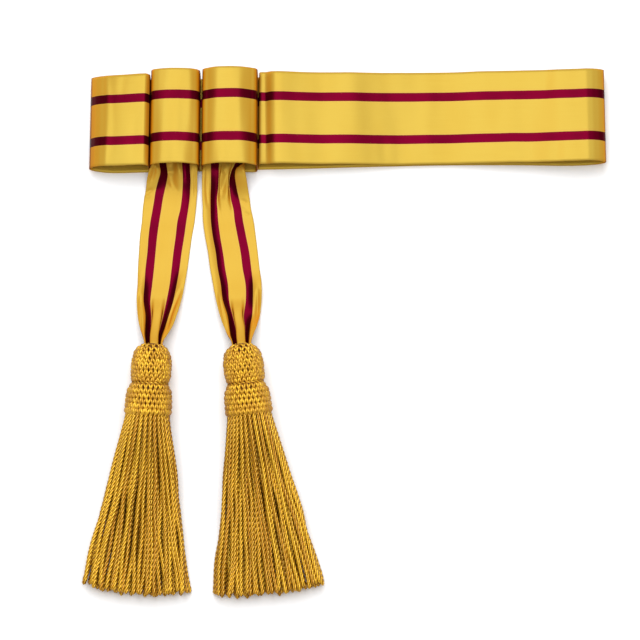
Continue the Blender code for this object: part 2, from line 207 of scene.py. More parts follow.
def smoothReading(rows, at):
    # the second column of a table at places of its first, on a smooth curve
    table = np.array(sorted(tuple(row) for row in rows), dtype=float)
    places, values = table[:, 0], table[:, 1]
    slopes = np.gradient(values, places)
    at = np.clip(np.atleast_1d(np.asarray(at, dtype=float)), places[0], places[-1])
    cell = np.clip(np.searchsorted(places, at, side="right") - 1, 0, len(places) - 2)
    span = places[cell + 1] - places[cell]
    t = (at - places[cell]) / span
    rise = values[cell] * (2 * t**3 - 3 * t**2 + 1) + values[cell + 1] * (3 * t**2 - 2 * t**3)
    bend = slopes[cell] * (t**3 - 2 * t**2 + t) + slopes[cell + 1] * (t**3 - t**2)
    return rise + bend * span


def arc(centreX, centreZ, radius, start, end, steps=12):
    angles = np.radians(np.linspace(start, end, steps + 1))
    return [(centreX + radius * math.cos(a), centreZ + radius * math.sin(a)) for a in angles]


def evenLine(points, step, softening):
    # a closed line with even spacing, its corners softened over that distance
    line = np.array(points + [points[0]], dtype=float)
    lengths = np.hypot(*np.diff(line, axis=0).T)
    along = np.concatenate([[0.0], np.cumsum(lengths)])
    count = int(round(along[-1] / step))
    at = np.linspace(0.0, along[-1], count, endpoint=False)
    even = np.column_stack([np.interp(at, along, line[:, k]) for k in (0, 1)])
    frequencies = np.fft.fftfreq(count, d=along[-1] / count)
    keep = np.exp(-2 * (math.pi * frequencies * softening) ** 2)
    soft = np.real(np.fft.ifft(np.fft.fft(even, axis=0) * keep[:, None], axis=0))
    return soft, along[-1]


def gentleWaves(at, across, waves):
    # a sum of long low waves: length along, length across, height, start
    total = np.zeros(np.broadcast(at, across).shape)
    for alongLength, acrossLength, height, start in waves:
        total += height * np.sin(2 * math.pi * (at / alongLength + across / acrossLength) + start)
    return total


def creaseHeights(x, y, creases):
    # soft ridges (height over 0) and troughs (under 0) along bowed lines, each row of the table:
    # start x, start y, end x, end y, bow to the left, width, height
    total = np.zeros(np.broadcast(x, y).shape)
    for startX, startY, endX, endY, bow, width, height in creases:
        length = math.hypot(endX - startX, endY - startY)
        alongX, alongY = (endX - startX) / length, (endY - startY) / length
        share = ((x - startX) * alongX + (y - startY) * alongY) / length
        side = (y - startY) * alongX - (x - startX) * alongY
        inside = np.clip(share, 0.0, 1.0)
        beyond = (share - inside) * length
        across = side - bow * 4 * inside * (1 - inside)
        fade = np.exp(-((across / width) ** 2) - (beyond / (1.5 * width)) ** 2)
        total += height * fade * np.sqrt(np.clip(0.15 + 4 * inside * (1 - inside), 0.0, 1.0))
    return total


def sheetMesh(name, points, along, across, closed):
    # a sheet through a grid of points (across, along, xyz) with its cut in metres as its UV map
    rows, columns = points.shape[:2]
    spans = columns if closed else columns - 1
    index = np.arange(rows * columns).reshape(rows, columns)
    a = index[:-1, :spans]
    b = np.roll(index, -1, axis=1)[:-1, :spans]
    c = np.roll(index, -1, axis=1)[1:, :spans]
    d = index[1:, :spans]
    faces = np.stack([b, a, d, c], axis=-1).reshape(-1, 4)
    mesh = bpy.data.meshes.new(name)
    mesh.from_pydata(points.reshape(-1, 3).tolist(), [], faces.tolist())
    nextAlong = np.append(along, 2 * along[-1] - along[-2])
    cell = np.arange(spans)
    corners = np.zeros((rows - 1, spans, 4, 2), np.float32)
    corners[..., 0] = nextAlong[np.stack([cell + 1, cell, cell, cell + 1], axis=-1)]
    corners[..., :2, 1] = across[:-1, None, None]
    corners[..., 2:, 1] = across[1:, None, None]
    layer = mesh.uv_layers.new(name="cut")
    layer.data.foreach_set("uv", corners.ravel())
    mesh.shade_smooth()
    mesh.update()
    # how far each point is turned from lying flat: 0 flat, 1 upright
    slope = mesh.attributes.new("slope", "FLOAT", "POINT")
    slope.data.foreach_set("value", [1 - abs(v.normal.z) for v in mesh.vertices])
    return mesh


def settlePiece(piece, nodes):
    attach(piece, "root")
    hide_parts(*nodes)


# Satin ribbon finish

satin = {
    "gold": photoColor(191, 160, 64),
    "goldDeep": photoColor(184, 147, 50),
    "wine": photoColor(101, 0, 30),
    "wineDeep": photoColor(88, 0, 25),
    "edgeLight": photoColor(206, 167, 94),
    # painted shade: the deep warm tint of slopes seen from the side
    "paintedShadeTint": (0.98, 0.60, 0.10, 1.0),
    # painted shade: the dark brown of steep walls in the seams
    "sideShade": (0.28, 0.14, 0.05, 1.0),
    "stripeSoftness": 0.00012,
    "edgeLine": 0.00045,
    "selvage": 0.0011,
    "yarn": 0.00042,
    "streaksPerMetre": 26,
    "cloudsPerMetre": 9,
    "floatsPerMetre": 600,
    "cloudShare": 0.70,
    "deepFrom": (0.38, 0.64),
    "deepShare": 0.35,
    "edgeShare": 0.35,
    "rimShare": 0.25,
    "stripePaintedShade": 0.4,
    "roughness": 0.34,
    "wineMetal": 0.50,
    # painted sheen on surfaces seen at a glance
    "paintedSheen": (1.20, 1.03, 0.84, 1.0),
    "paintedShadeOnset": 0.6,
    "seenFlat": 0.03,
    # painted shade on the stripes where the cloth slopes
    "wineShade": (0.56, 0.45, 0.52, 1.0),
    "sideShadeShare": 0.90,
    # where each painted shade and painted sheen begins and is full
    "wineShadeFrom": (0.010, 0.14),
    "paintedSheenFrom": (0.10, 0.60),
    "paintedShadeFrom": (0.044, 0.38),
    "sideShadeFrom": (0.30, 0.70),
}


def satinFinish(name, width, stripeOffset, stripeHalf, look):
    # gold satin with two woven wine stripes, drawn from the cut's own metres
    made, bench = newFinish(name)
    cut = bench.node("ShaderNodeUVMap", {"uv_map": "cut"})
    along = bench.split(cut)
    across = bench.split(cut, 1)
    middle = bench.maths("ABSOLUTE", across - width / 2)
    fromStripe = bench.maths("ABSOLUTE", middle - stripeOffset)
    soft = satin["stripeSoftness"]
    stripe = 1 - bench.step(fromStripe, stripeHalf - soft, stripeHalf + soft)
    edgeAway = bench.maths("ABSOLUTE", fromStripe - (stripeHalf + satin["edgeLine"]))
    edgeLine = 1 - bench.step(edgeAway, 0.0, satin["edgeLine"])
    rim = 1 - bench.step(width / 2 - middle, satin["selvage"] * 0.7, satin["selvage"])

    # long streaks of yarn, soft clouds and the short floats of the weave
    yarn, streaks = satin["yarn"], along * satin["streaksPerMetre"]
    yarns = bench.noise(bench.combine(streaks, across / yarn, 0.0), detail=3.0)
    clouds = bench.noise(bench.combine(streaks, across * satin["cloudsPerMetre"], 3.0))
    floatPlace = bench.combine(along * satin["floatsPerMetre"], across / (yarn * 0.8), 7.0)
    floats = bench.noise(floatPlace, detail=1.0)
    cloudShare = satin["cloudShare"]
    deep = bench.step(yarns * (1 - cloudShare) + clouds * cloudShare, *satin["deepFrom"])
    gold = bench.mix(deep * satin["deepShare"], satin["gold"], satin["goldDeep"])
    gold = bench.mix(1.0, gold, (*look["tint"], 1.0), "MULTIPLY")
    wine = bench.mix(deep, satin["wine"], satin["wineDeep"])
    gold = bench.mix(edgeLine * satin["edgeShare"], gold, satin["edgeLight"])
    # painted shade: the stripes are darkened where the cloth slopes, for the sheen they lose there
    slope = bench.painted("slope")
    wine = bench.mix(bench.step(slope, *satin["wineShadeFrom"]), wine, satin["wineShade"], "MULTIPLY")
    color = bench.mix(stripe, gold, wine)
    color = bench.mix(rim * satin["rimShare"], color, satin["goldDeep"])
    # painted sheen and painted shade: surfaces seen at a glance are brightened, and slopes that are seen
    # from the side turn deeper and warmer
    facing = bench.facing()
    # painted sheen: colour brightened and warmed where the surface is seen at a glancing angle
    color = bench.mix(bench.step(facing, *satin["paintedSheenFrom"]), color, satin["paintedSheen"], "MULTIPLY")
    steep = bench.maths("MINIMUM", facing, slope + satin["seenFlat"])
    # painted shade on slopes, as strong as the turned share of each piece's look
    turned = bench.step(steep, *satin["paintedShadeFrom"], "LINEAR") ** satin["paintedShadeOnset"] * look["turned"]
    turned = turned * (1 - stripe * (1 - satin["stripePaintedShade"]))
    color = bench.mix(turned, color, satin["paintedShadeTint"], "MULTIPLY")
    # painted shade: steep walls, such as the seams beside the loops, are darkened to brown
    sideShade = bench.step(steep, *satin["sideShadeFrom"]) * satin["sideShadeShare"]
    color = bench.mix(sideShade, color, satin["sideShade"], "MULTIPLY")
    height = floats * 0.02 + yarns * 0.03 + rim * 0.08 + edgeLine * 0.03
    bump = bench.bump(height, 0.6)
    roughness = satin["roughness"] + (yarns - 0.5) * 0.16 + rim * 0.12
    metal = look["metal"] + stripe * (satin["wineMetal"] - look["metal"])
    fixed = {"Metallic": metal, "Specular IOR Level": 0.02}
    finishWith(bench, color, roughness, bump, fixed)
    return made


def ribbonPiece(name, node, grid, along, across, length, ribbon, closed=True):
    # dresses a grid of points as satin ribbon with its stripes, its wall and its look
    width = float(across[-1])
    finish = satinFinish(name + "Satin", width, ribbon["stripeOffset"], ribbon["stripeHalf"],
                         ribbon["look"])
    mesh = sheetMesh(name, grid, along, across, closed)
    if not closed:
        mesh.flip_normals()
    mesh.materials.append(finish)
    piece = placeObject(name, mesh)
    wall = piece.modifiers.new("Cloth", "SOLIDIFY")
    wall.thickness = ribbon["thickness"]
    wall.offset = -1.0 if closed else 0.0
    wall.use_even_offset = True
    wall.use_quality_normals = True
    settlePiece(piece, [node])
    print(name, "made,", round(length, 3), "long")


# Waistband: one closed ribbon loop pressed flat

band = {
    # turned: how strong the painted shade on slopes is
    "look": {"metal": 0.20, "turned": 0.72, "tint": (1.0, 1.0, 1.0)},
    "width": 0.0862,
    "stripeOffset": 0.0199,
    "stripeHalf": 0.0042,
    "thickness": 0.0006,
    "bend": 0.0016,
    "shoulder": 0.0046,
    "crown": -0.1760,           # where the left end turns down beside the loops
    "tuck": -0.0788,            # where the front turns down beside the loops
    "runHeight": 0.0027,        # outer skin of the run under the loops
    "step": 0.0011,
    "rows": 34,
    "softening": 0.0006,
    # outer skin of the right end from the surface round its fold: x, height
    "rightEnd": [
        (0.1960, 0.0000), (0.2060, 0.0003), (0.2150, 0.0011), (0.2215, 0.0027), (0.2260, 0.0050),
        (0.2288, 0.0078), (0.2301, 0.0103), (0.2304, 0.0124), (0.2297, 0.0144), (0.2276, 0.0166),
        (0.2240, 0.0186), (0.2190, 0.0202), (0.2136, 0.0210),
    ],
    "front": [
        (0.2136, 0.0210), (0.2080, 0.0206), (0.1860, 0.0180), (0.1515, 0.0128), (0.1177, 0.0082),
        (0.0846, 0.0056), (0.0560, 0.0063), (0.0270, 0.0085), (-0.0153, 0.0130), (-0.0421, 0.0156),
        (-0.0560, 0.0174), (-0.0600, 0.0177), (-0.0638, 0.0175), (-0.0665, 0.0167), (-0.0688, 0.0154),
        (-0.0711, 0.0139), (-0.0734, 0.0127), (-0.0756, 0.0120), (-0.0774, 0.0117),
    ],
    "leftEnd": [
        (-0.1797, 0.0253), (-0.1860, 0.0251), (-0.1928, 0.0246), (-0.2046, 0.0233), (-0.2145, 0.0213),
    ],
    "leftFold": [
        (-0.2200, 0.0187), (-0.2246, 0.0150), (-0.2283, 0.0105), (-0.2299, 0.0068), (-0.2290, 0.0040),
        (-0.2255, 0.0018), (-0.2200, 0.0005), (-0.2130, 0.0000),
    ],
    # how much lower the far edge lies at the left end: x, drop
    "farDrop": [(-0.2304, 0.0068), (-0.2150, 0.0048), (-0.1770, 0.0026), (-0.1400, 0.0)],
    "drift": [
        (-0.2300, -0.0042), (-0.2160, -0.0056), (-0.1770, -0.0052), (-0.0790, -0.0025),
        (-0.0420, -0.0016), (0.0270, 0.0002), (0.0850, 0.0010), (0.1500, 0.0004),
        (0.2080, -0.0006), (0.2304, 0.0000),
    ],
    # how much farther the back layer lies than the front one: x, shift
    "backShift": [(-0.2304, 0.0), (0.0600, 0.0), (0.1500, 0.0010), (0.2304, 0.0018)],
    # how much farther the front lies where it turns down beside the loops: x, shift
    "frontShift": [
        (-0.2304, 0.0), (-0.1000, 0.0), (-0.0790, 0.0017), (-0.0774, 0.0017), (-0.0711, 0.0011),
        (-0.0640, 0.0001), (-0.0560, 0.0), (0.2304, 0.0),
    ],
    # length along, length across, height, start
    "waves": [
        (0.061, 0.55, 0.00034, 0.4), (0.037, -0.31, 0.00014, 2.1), (0.023, 0.17, 0.00006, 4.0),
        (0.105, -0.80, 0.00050, 1.3),
    ],
    # beside the loops, over the left end and faint ones along the front
    "creases": [
        (-0.0708, -0.0480, -0.0716, 0.0460, 0.0008, 0.0027, -0.0010),
        (-0.0740, 0.0100, -0.0735, 0.0450, 0.0000, 0.0016, -0.0003),
        (-0.2150, -0.0460, -0.2160, 0.0380, -0.0030, 0.0030, 0.0004),
        (-0.2010, 0.0150, -0.1990, 0.0380, 0.0004, 0.0040, -0.0003),
        (-0.1771, -0.0490, -0.1771, 0.0390, 0.0000, 0.0016, -0.0016),
        (-0.1890, -0.0440, -0.1880, 0.0000, 0.0010, 0.0040, -0.0003),
        (-0.0200, 0.0120, -0.0230, 0.0440, 0.0010, 0.0060, -0.0003),
        (0.0340, -0.0430, 0.0330, -0.0200, 0.0004, 0.0050, -0.0003),
        (0.0700, -0.0180, 0.0740, 0.0200, 0.0020, 0.0070, 0.0004),
        (0.1180, 0.0140, 0.1150, 0.0430, -0.0010, 0.0050, -0.0003),
        (0.1500, -0.0420, 0.1460, 0.0100, 0.0020, 0.0080, 0.0004),
        (0.1780, 0.0200, 0.1810, 0.0430, 0.0010, 0.0045, -0.0003),
        (0.1860, -0.0430, 0.1880, -0.0250, 0.0006, 0.0050, -0.0003),
    ],
}


def bandOutline():
    # the outer skin in the XZ plane, anticlockwise as seen from the tassels
    points = [(x, 0.0) for x in np.linspace(band["leftFold"][-1][0], band["rightEnd"][0][0], 60)[1:-1]]
    points += band["rightEnd"]
    frontX = np.linspace(band["front"][1][0], band["front"][-1][0], 120)
    points += list(zip(frontX, smoothReading(band["front"], frontX)))
    bend = band["bend"]
    low = band["runHeight"] + bend
    points += arc(band["tuck"] + bend, band["front"][-1][1] - bend, bend, 90, 180, 6)
    points += arc(band["tuck"] - bend, low, bend, 0, -90, 5)
    points += [(x, band["runHeight"]) for x in np.linspace(band["tuck"] - bend, band["crown"] + bend, 30)]
    points += arc(band["crown"] + bend, low, bend, 270, 180, 5)
    shoulder = band["shoulder"]
    points += arc(band["crown"] - shoulder, band["leftEnd"][0][1] - shoulder, shoulder, 0, 90, 8)
    leftX = np.linspace(band["leftEnd"][0][0], band["leftEnd"][-1][0], 14)
    points += list(zip(leftX, smoothReading(band["leftEnd"], leftX)))[1:]
    points += band["leftFold"]
    return points


def makeBand():
    line, girth = evenLine(bandOutline(), band["step"], band["softening"])
    along = np.linspace(0.0, girth, len(line), endpoint=False)
    across = np.linspace(0.0, band["width"], band["rows"])
    x, z = line[:, 0], line[:, 1]
    middle = smoothReading(band["drift"], x)
    grid = np.zeros((len(across), len(line), 3))
    grid[..., 0] = x
    shift = smoothReading(band["backShift"], x) * (1 - np.clip(z / 0.016, 0.0, 1.0))
    shift += smoothReading(band["frontShift"], x) * np.clip((z - 0.004) / 0.006, 0.0, 1.0)
    grid[..., 1] = middle + shift + across[:, None] - band["width"] / 2
    raised = np.clip((z - 0.003) / 0.004, 0.0, 1.0)
    waves = gentleWaves(x, across[:, None], band["waves"])
    creases = creaseHeights(grid[..., 0], grid[..., 1], band["creases"])
    drop = smoothReading(band["farDrop"], x) * (across[:, None] / band["width"]) ** 2
    grid[..., 2] = z + raised * (waves + creases - drop * np.clip(z / 0.02, 0.0, 1.0))
    ribbonPiece("bandRibbon", "waist_band", grid, along, across, girth, band)


# Two short ribbon loops

loops = {
    # turned: how strong the painted shade on slopes is
    "look": {"metal": 0.20, "turned": 1.0, "tint": (1.0, 1.0, 1.0)},
    "thickness": 0.0006,
    "base": 0.0030,
    "shoulderRadius": 0.0065,
    "shoulderSweep": 76,
    "heelRadius": 0.0030,
    "step": 0.0009,
    "rows": 40,
    "softening": 0.0006,
    "inset": 0.0008,            # so that a dark gap shows between the loops
    "stripeShare": 0.2225,      # stripe middle from the ribbon's middle, as a share of its width
    "stripeHalfShare": 0.0478,
    "waves": [(0.019, 0.22, 0.00016, 0.6), (0.011, -0.15, 0.00006, 2.0), (0.034, 0.12, 0.00022, 4.4)],
}
loopSizes = {
    "loopLeft": {
        "node": "loop_left", "left": -0.1759, "right": -0.13045, "near": -0.0484, "far": 0.0402,
        "crown": 0.0290, "shoulder": 0.0262,
    },
    "loopRight": {
        "node": "loop_right", "left": -0.13015, "right": -0.0791, "near": -0.0490, "far": 0.0411,
        "crown": 0.0310, "shoulder": 0.0268,
    },
}


def loopOutline(size):
    base, heel, radius = loops["base"], loops["heelRadius"], loops["shoulderRadius"]
    sweep = loops["shoulderSweep"]
    left, right = size["left"] + loops["inset"], size["right"] - loops["inset"]
    points = arc(right - heel, base + heel, heel, -90, 0, 5)
    corner = size["shoulder"] - radius
    points += arc(right - radius, corner, radius, 0, sweep, 10)
    rightTop = points[-1]
    leftCorner = arc(left + radius, corner, radius, 180 - sweep, 180, 10)
    leftTop = leftCorner[0]
    for share in np.linspace(0.0, 1.0, 21)[1:-1]:
        x = rightTop[0] + share * (leftTop[0] - rightTop[0])
        offMiddle = (2 * share - 1) ** 2
        rise = 1 - 0.5 * offMiddle - 0.5 * offMiddle**2
        points.append((x, rightTop[1] + rise * (size["crown"] - rightTop[1])))
    points += leftCorner
    points += arc(left + heel, base + heel, heel, 180, 270, 5)
    return points


def makeLoop(name, size):
    line, girth = evenLine(loopOutline(size), loops["step"], loops["softening"])
    width = size["far"] - size["near"]
    along = np.linspace(0.0, girth, len(line), endpoint=False)
    across = np.linspace(0.0, width, loops["rows"])
    grid = np.zeros((len(across), len(line), 3))
    grid[..., 0] = line[:, 0]
    grid[..., 1] = size["near"] + across[:, None]
    raised = np.clip((line[:, 1] - 0.018) / 0.006, 0.0, 1.0)
    grid[..., 2] = line[:, 1] + raised * gentleWaves(line[:, 0], across[:, None], loops["waves"])
    stripes = {"stripeOffset": width * loops["stripeShare"],
               "stripeHalf": width * loops["stripeHalfShare"]}
    ribbonPiece(name, size["node"], grid, along, across, girth, {**loops, **stripes})


# Two tails of narrower ribbon

tails = {
    # turned: how strong the painted shade on slopes is
    "look": {"metal": 0.12, "turned": 0.66, "tint": (1.12, 1.03, 0.92)},
    "thickness": 0.0006,
    "step": 0.0009,
    # places on the cut ribbon: its edge, both sides of each stripe, its other edge
    "cut": (0.0, 0.0079, 0.0158, 0.0315, 0.0394, 0.0473),
    "cells": (11, 11, 30, 11, 11),
    "stripeOffset": 0.01183,
    "stripeHalf": 0.0040,
    "mouth": -0.0500,           # up to here a tail lies inside its loop
    "mouthFloor": 0.0048,
    "mouthRise": 0.004,         # over this length it comes up to the loop's floor
    "floorGap": 0.0001,
    "edgeCurl": 0.4,
    "flatShare": 0.900,         # drawn in less than this, the ribbon stays flat
    "foldOnset": 0.018,
    "wallShare": 0.30,          # share of the middle panel that stands up along each stripe
    "slack": 0.05,              # so much of the middle panel lies loose before it folds
    "bulge": 0.12,
    "evening": 31,              # rows over which the folds are evened out
    "settle": 0.0004,
}
# y, then x of the left edge, both sides of each stripe and the right edge, then the lift
tailSizes = {
    "tailLeft": {
        "node": "tail_left",
        "rows": [
            (-0.0180, -0.1712, -0.1650, -0.1590, -0.1470, -0.1410, -0.1350, 0.0050),
            (-0.0438, -0.1738, -0.1671, -0.1610, -0.1470, -0.1400, -0.1332, 0.0075),
            (-0.0513, -0.1764, -0.1661, -0.1600, -0.1465, -0.1396, -0.1332, 0.0064),
            (-0.0581, -0.1782, -0.1682, -0.1609, -0.1463, -0.1393, -0.1332, 0.0040),
            (-0.0659, -0.1794, -0.1704, -0.1625, -0.1467, -0.1397, -0.1333, 0.0012),
            (-0.0739, -0.1808, -0.1716, -0.1641, -0.1473, -0.1402, -0.1338, 0.0001),
            (-0.0823, -0.1817, -0.1728, -0.1652, -0.1483, -0.1412, -0.1344, 0.0000),
            (-0.0935, -0.1823, -0.1746, -0.1668, -0.1507, -0.1428, -0.1354, 0.0000),
            (-0.1083, -0.1838, -0.1762, -0.1686, -0.1522, -0.1446, -0.1377, 0.0000),
            (-0.1231, -0.1844, -0.1770, -0.1698, -0.1540, -0.1467, -0.1395, 0.0000),
            (-0.1378, -0.1851, -0.1784, -0.1709, -0.1554, -0.1483, -0.1412, 0.0000),
            (-0.1528, -0.1850, -0.1791, -0.1723, -0.1570, -0.1504, -0.1433, 0.0002),
            (-0.1677, -0.1854, -0.1797, -0.1736, -0.1595, -0.1531, -0.1459, 0.0008),
            (-0.1831, -0.1840, -0.1775, -0.1724, -0.1624, -0.1570, -0.1498, 0.0028),
            (-0.1945, -0.1818, -0.1773, -0.1724, -0.1647, -0.1597, -0.1534, 0.0058),
            (-0.2030, -0.1790, -0.1770, -0.1723, -0.1660, -0.1621, -0.1577, 0.0090),
            (-0.2090, -0.1774, -0.1762, -0.1719, -0.1661, -0.1628, -0.1608, 0.0116),
            (-0.2150, -0.1766, -0.1754, -0.1716, -0.1664, -0.1632, -0.1614, 0.0134),
        ],
        "creases": [
            (-0.1562, -0.0400, -0.1548, -0.0660, -0.0010, 0.0044, -0.0042),
            (-0.1520, -0.0400, -0.1472, -0.0560, 0.0004, 0.0024, 0.0009),
            (-0.1590, -0.0600, -0.1530, -0.0668, -0.0006, 0.0016, 0.0008),
            (-0.1740, -0.0420, -0.1682, -0.0500, 0.0000, 0.0018, 0.0018),
            (-0.1698, -0.0430, -0.1746, -0.0580, 0.0004, 0.0022, -0.0026),
            (-0.1778, -0.0672, -0.1730, -0.0650, 0.0003, 0.0016, -0.0012),
            (-0.1796, -0.0768, -0.1746, -0.0752, -0.0003, 0.0015, -0.0010),
            (-0.1810, -0.0850, -0.1765, -0.0828, 0.0003, 0.0015, -0.0009),
            (-0.1794, -0.0720, -0.1755, -0.0706, 0.0000, 0.0015, 0.0008),
            (-0.1362, -0.0480, -0.1356, -0.0713, 0.0003, 0.0014, -0.0009),
            (-0.1440, -0.0440, -0.1432, -0.0560, 0.0000, 0.0020, -0.0006),
            (-0.1590, -0.0830, -0.1555, -0.1130, 0.0020, 0.0060, 0.0004),
            (-0.1806, -0.1180, -0.1818, -0.1480, 0.0004, 0.0028, 0.0003),
            (-0.1440, -0.1210, -0.1468, -0.1460, 0.0004, 0.0028, -0.0003),
            (-0.1826, -0.1640, -0.1800, -0.2020, -0.0008, 0.0015, -0.0014),
            (-0.1472, -0.1600, -0.1580, -0.1990, -0.0014, 0.0017, -0.0021),
        ],
    },
    "tailRight": {
        "node": "tail_right",
        "rows": [
            (-0.0180, -0.1265, -0.1205, -0.1145, -0.1030, -0.0970, -0.0915, 0.0050),
            (-0.0438, -0.1288, -0.1213, -0.1141, -0.1003, -0.0933, -0.0910, 0.0075),
            (-0.0475, -0.1288, -0.1213, -0.1141, -0.1023, -0.0977, -0.0915, 0.0073),
            (-0.0528, -0.1290, -0.1213, -0.1141, -0.1041, -0.0995, -0.0905, 0.0060),
            (-0.0581, -0.1291, -0.1213, -0.1145, -0.1049, -0.0993, -0.0894, 0.0040),
            (-0.0634, -0.1291, -0.1214, -0.1148, -0.1049, -0.0984, -0.0885, 0.0020),
            (-0.0673, -0.1291, -0.1216, -0.1152, -0.1044, -0.0977, -0.0879, 0.0010),
            (-0.0747, -0.1288, -0.1217, -0.1159, -0.1033, -0.0959, -0.0866, 0.0001),
            (-0.0823, -0.1284, -0.1216, -0.1154, -0.1014, -0.0943, -0.0856, 0.0000),
            (-0.0935, -0.1281, -0.1212, -0.1146, -0.1000, -0.0927, -0.0832, 0.0000),
            (-0.1083, -0.1262, -0.1194, -0.1127, -0.0973, -0.0898, -0.0811, 0.0000),
            (-0.1231, -0.1234, -0.1166, -0.1101, -0.0945, -0.0869, -0.0793, 0.0000),
            (-0.1378, -0.1214, -0.1147, -0.1080, -0.0926, -0.0850, -0.0776, 0.0000),
            (-0.1528, -0.1186, -0.1119, -0.1054, -0.0899, -0.0833, -0.0757, 0.0002),
            (-0.1677, -0.1158, -0.1100, -0.1042, -0.0897, -0.0832, -0.0756, 0.0008),
            (-0.1831, -0.1120, -0.1054, -0.1006, -0.0913, -0.0839, -0.0773, 0.0028),
            (-0.1945, -0.1080, -0.1037, -0.0981, -0.0899, -0.0854, -0.0800, 0.0058),
            (-0.2030, -0.1045, -0.1022, -0.0971, -0.0898, -0.0861, -0.0826, 0.0090),
            (-0.2090, -0.1014, -0.1006, -0.0961, -0.0897, -0.0863, -0.0842, 0.0116),
            (-0.2150, -0.1003, -0.0995, -0.0955, -0.0896, -0.0864, -0.0843, 0.0134),
        ],
        "creases": [
            (-0.1032, -0.0450, -0.1120, -0.0700, -0.0010, 0.0032, -0.0022),
            (-0.1010, -0.0560, -0.1076, -0.0760, -0.0010, 0.0030, 0.0008),
            (-0.1108, -0.0420, -0.1095, -0.0520, 0.0000, 0.0024, -0.0012),
            (-0.1136, -0.0440, -0.1148, -0.0640, 0.0000, 0.0016, 0.0005),
            (-0.1253, -0.0540, -0.1240, -0.0810, -0.0006, 0.0013, -0.0010),
            (-0.1276, -0.0440, -0.1276, -0.0620, 0.0003, 0.0013, 0.0007),
            (-0.0945, -0.0450, -0.0915, -0.0530, 0.0000, 0.0014, 0.0012),
            (-0.0945, -0.0752, -0.0896, -0.0770, 0.0003, 0.0015, -0.0008),
            (-0.0918, -0.0862, -0.0870, -0.0882, -0.0003, 0.0015, -0.0008),
            (-0.0930, -0.0805, -0.0888, -0.0822, 0.0000, 0.0012, 0.0003),
            (-0.1075, -0.0880, -0.1040, -0.1180, -0.0020, 0.0060, 0.0004),
            (-0.1205, -0.1180, -0.1172, -0.1420, 0.0004, 0.0028, -0.0003),
            (-0.0828, -0.1140, -0.0802, -0.1400, 0.0004, 0.0028, 0.0003),
            (-0.1130, -0.1640, -0.1045, -0.2010, -0.0008, 0.0015, -0.0015),
            (-0.0790, -0.1600, -0.0822, -0.2010, 0.0010, 0.0016, -0.0020),
        ],
    },
}
foldAngles = np.linspace(0.0, 2.2, 90)
foldShares = np.array([np.mean(np.cos(a * np.sin(np.linspace(0, math.pi, 60)))) for a in foldAngles])


def foldAngle(seenShare):
    # the steepest slope of a fold that draws cloth in to this share of its width
    onset = tails["foldOnset"]
    missing = onset * np.logaddexp(0.0, (tails["flatShare"] - seenShare) / onset)
    return np.interp(np.clip(1 - missing, 0.1, 1.0), foldShares[::-1], foldAngles[::-1])


def tailAngles(lines):
    # fold angle of each panel in each row, evened out along the tail
    shares = np.diff(lines, axis=0) / np.diff(tails["cut"])[:, None]
    shares[2] = 1 - (1 - shares[2] - tails["slack"]) / (2 * tails["wallShare"])
    window = np.hanning(tails["evening"] + 2)[1:-1]
    padded = np.pad(foldAngle(shares), ((0, 0), (tails["evening"] // 2,) * 2), mode="edge")
    return np.array([np.convolve(row, window / window.sum(), mode="valid") for row in padded])


def tailSection(lines, angles):
    # x and height across one row: arched between the stripes, which rise outward to both margins
    cut, wall = tails["cut"], tails["wallShare"]
    centre, inner = angles[2], [angles[1], angles[3]]
    edge = [tails["edgeCurl"] * angles[0], tails["edgeCurl"] * angles[4]]
    slopes = []
    for panel, cells in enumerate(tails["cells"]):
        t = (np.arange(cells) + 0.5) / cells
        if panel == 0:
            slopes.append(edge[0] * (1 - t) - inner[0] * t)
        elif panel == 1:
            slopes.append(-inner[0] * np.sin(math.pi / 2 * (1 - t)))
        elif panel == 2:
            fromStripe = np.clip(np.minimum(t, 1 - t) / wall, 0.0, 1.0)
            standing = np.sin(math.pi * fromStripe) * np.sign(0.5 - t)
            slopes.append(centre * (standing + tails["bulge"] * np.sin(2 * math.pi * t)))
        elif panel == 3:
            slopes.append(inner[1] * np.sin(math.pi / 2 * t))
        else:
            slopes.append(inner[1] * (1 - t) - edge[1] * t)
    x, height = [lines[0]], [0.0]
    for panel, slope in enumerate(slopes):
        reach = np.cumsum(np.cos(slope))
        width = lines[panel + 1] - lines[panel]
        x += list(lines[panel] + width * reach / reach[-1])
        step = (cut[panel + 1] - cut[panel]) / len(slope)
        height += list(height[-1] + np.cumsum(np.sin(slope)) * step)
    height = np.array(height)
    return np.array(x), height - height.min()


def makeTail(name, size):
    table = np.array(size["rows"])
    count = int(round((table[0, 0] - table[-1, 0]) / tails["step"]))
    y = np.linspace(table[0, 0], table[-1, 0], count + 1)
    columns = [smoothReading(table[:, [0, k]], y) for k in range(1, 8)]
    lines, lift = np.array(columns[:6]), np.maximum(columns[6], 0.0)
    points = sum(tails["cells"]) + 1
    grid = np.zeros((points, len(y), 3))
    angles = tailAngles(lines)
    for i in range(len(y)):
        grid[:, i, 0], grid[:, i, 2] = tailSection(lines[:, i], angles[:, i])
    grid[..., 1] = y
    grid[..., 2] += lift + creaseHeights(grid[..., 0], grid[..., 1], size["creases"])
    inLoop = np.clip((y - tails["mouth"]) / tails["mouthRise"] + 1, 0.0, 1.0)
    half = tails["thickness"] / 2
    lowest = half + tails["floorGap"] + (tails["mouthFloor"] - half) * inLoop
    clear = (grid[..., 2] + half - lowest) / tails["settle"]
    grid[..., 2] = lowest + tails["settle"] * np.logaddexp(0.0, clear)
    middle = lines.mean(axis=0)
    along = np.concatenate([[0.0], np.cumsum(np.hypot(np.diff(middle), np.diff(y)))])
    places = [np.linspace(*tails["cut"][k : k + 2], c + 1)[1:] for k, c in enumerate(tails["cells"])]
    across = np.concatenate([[0.0], *places])
    ribbonPiece(name, size["node"], grid, along, across, float(along[-1]), tails,
                closed=False)


# Gold cord finish

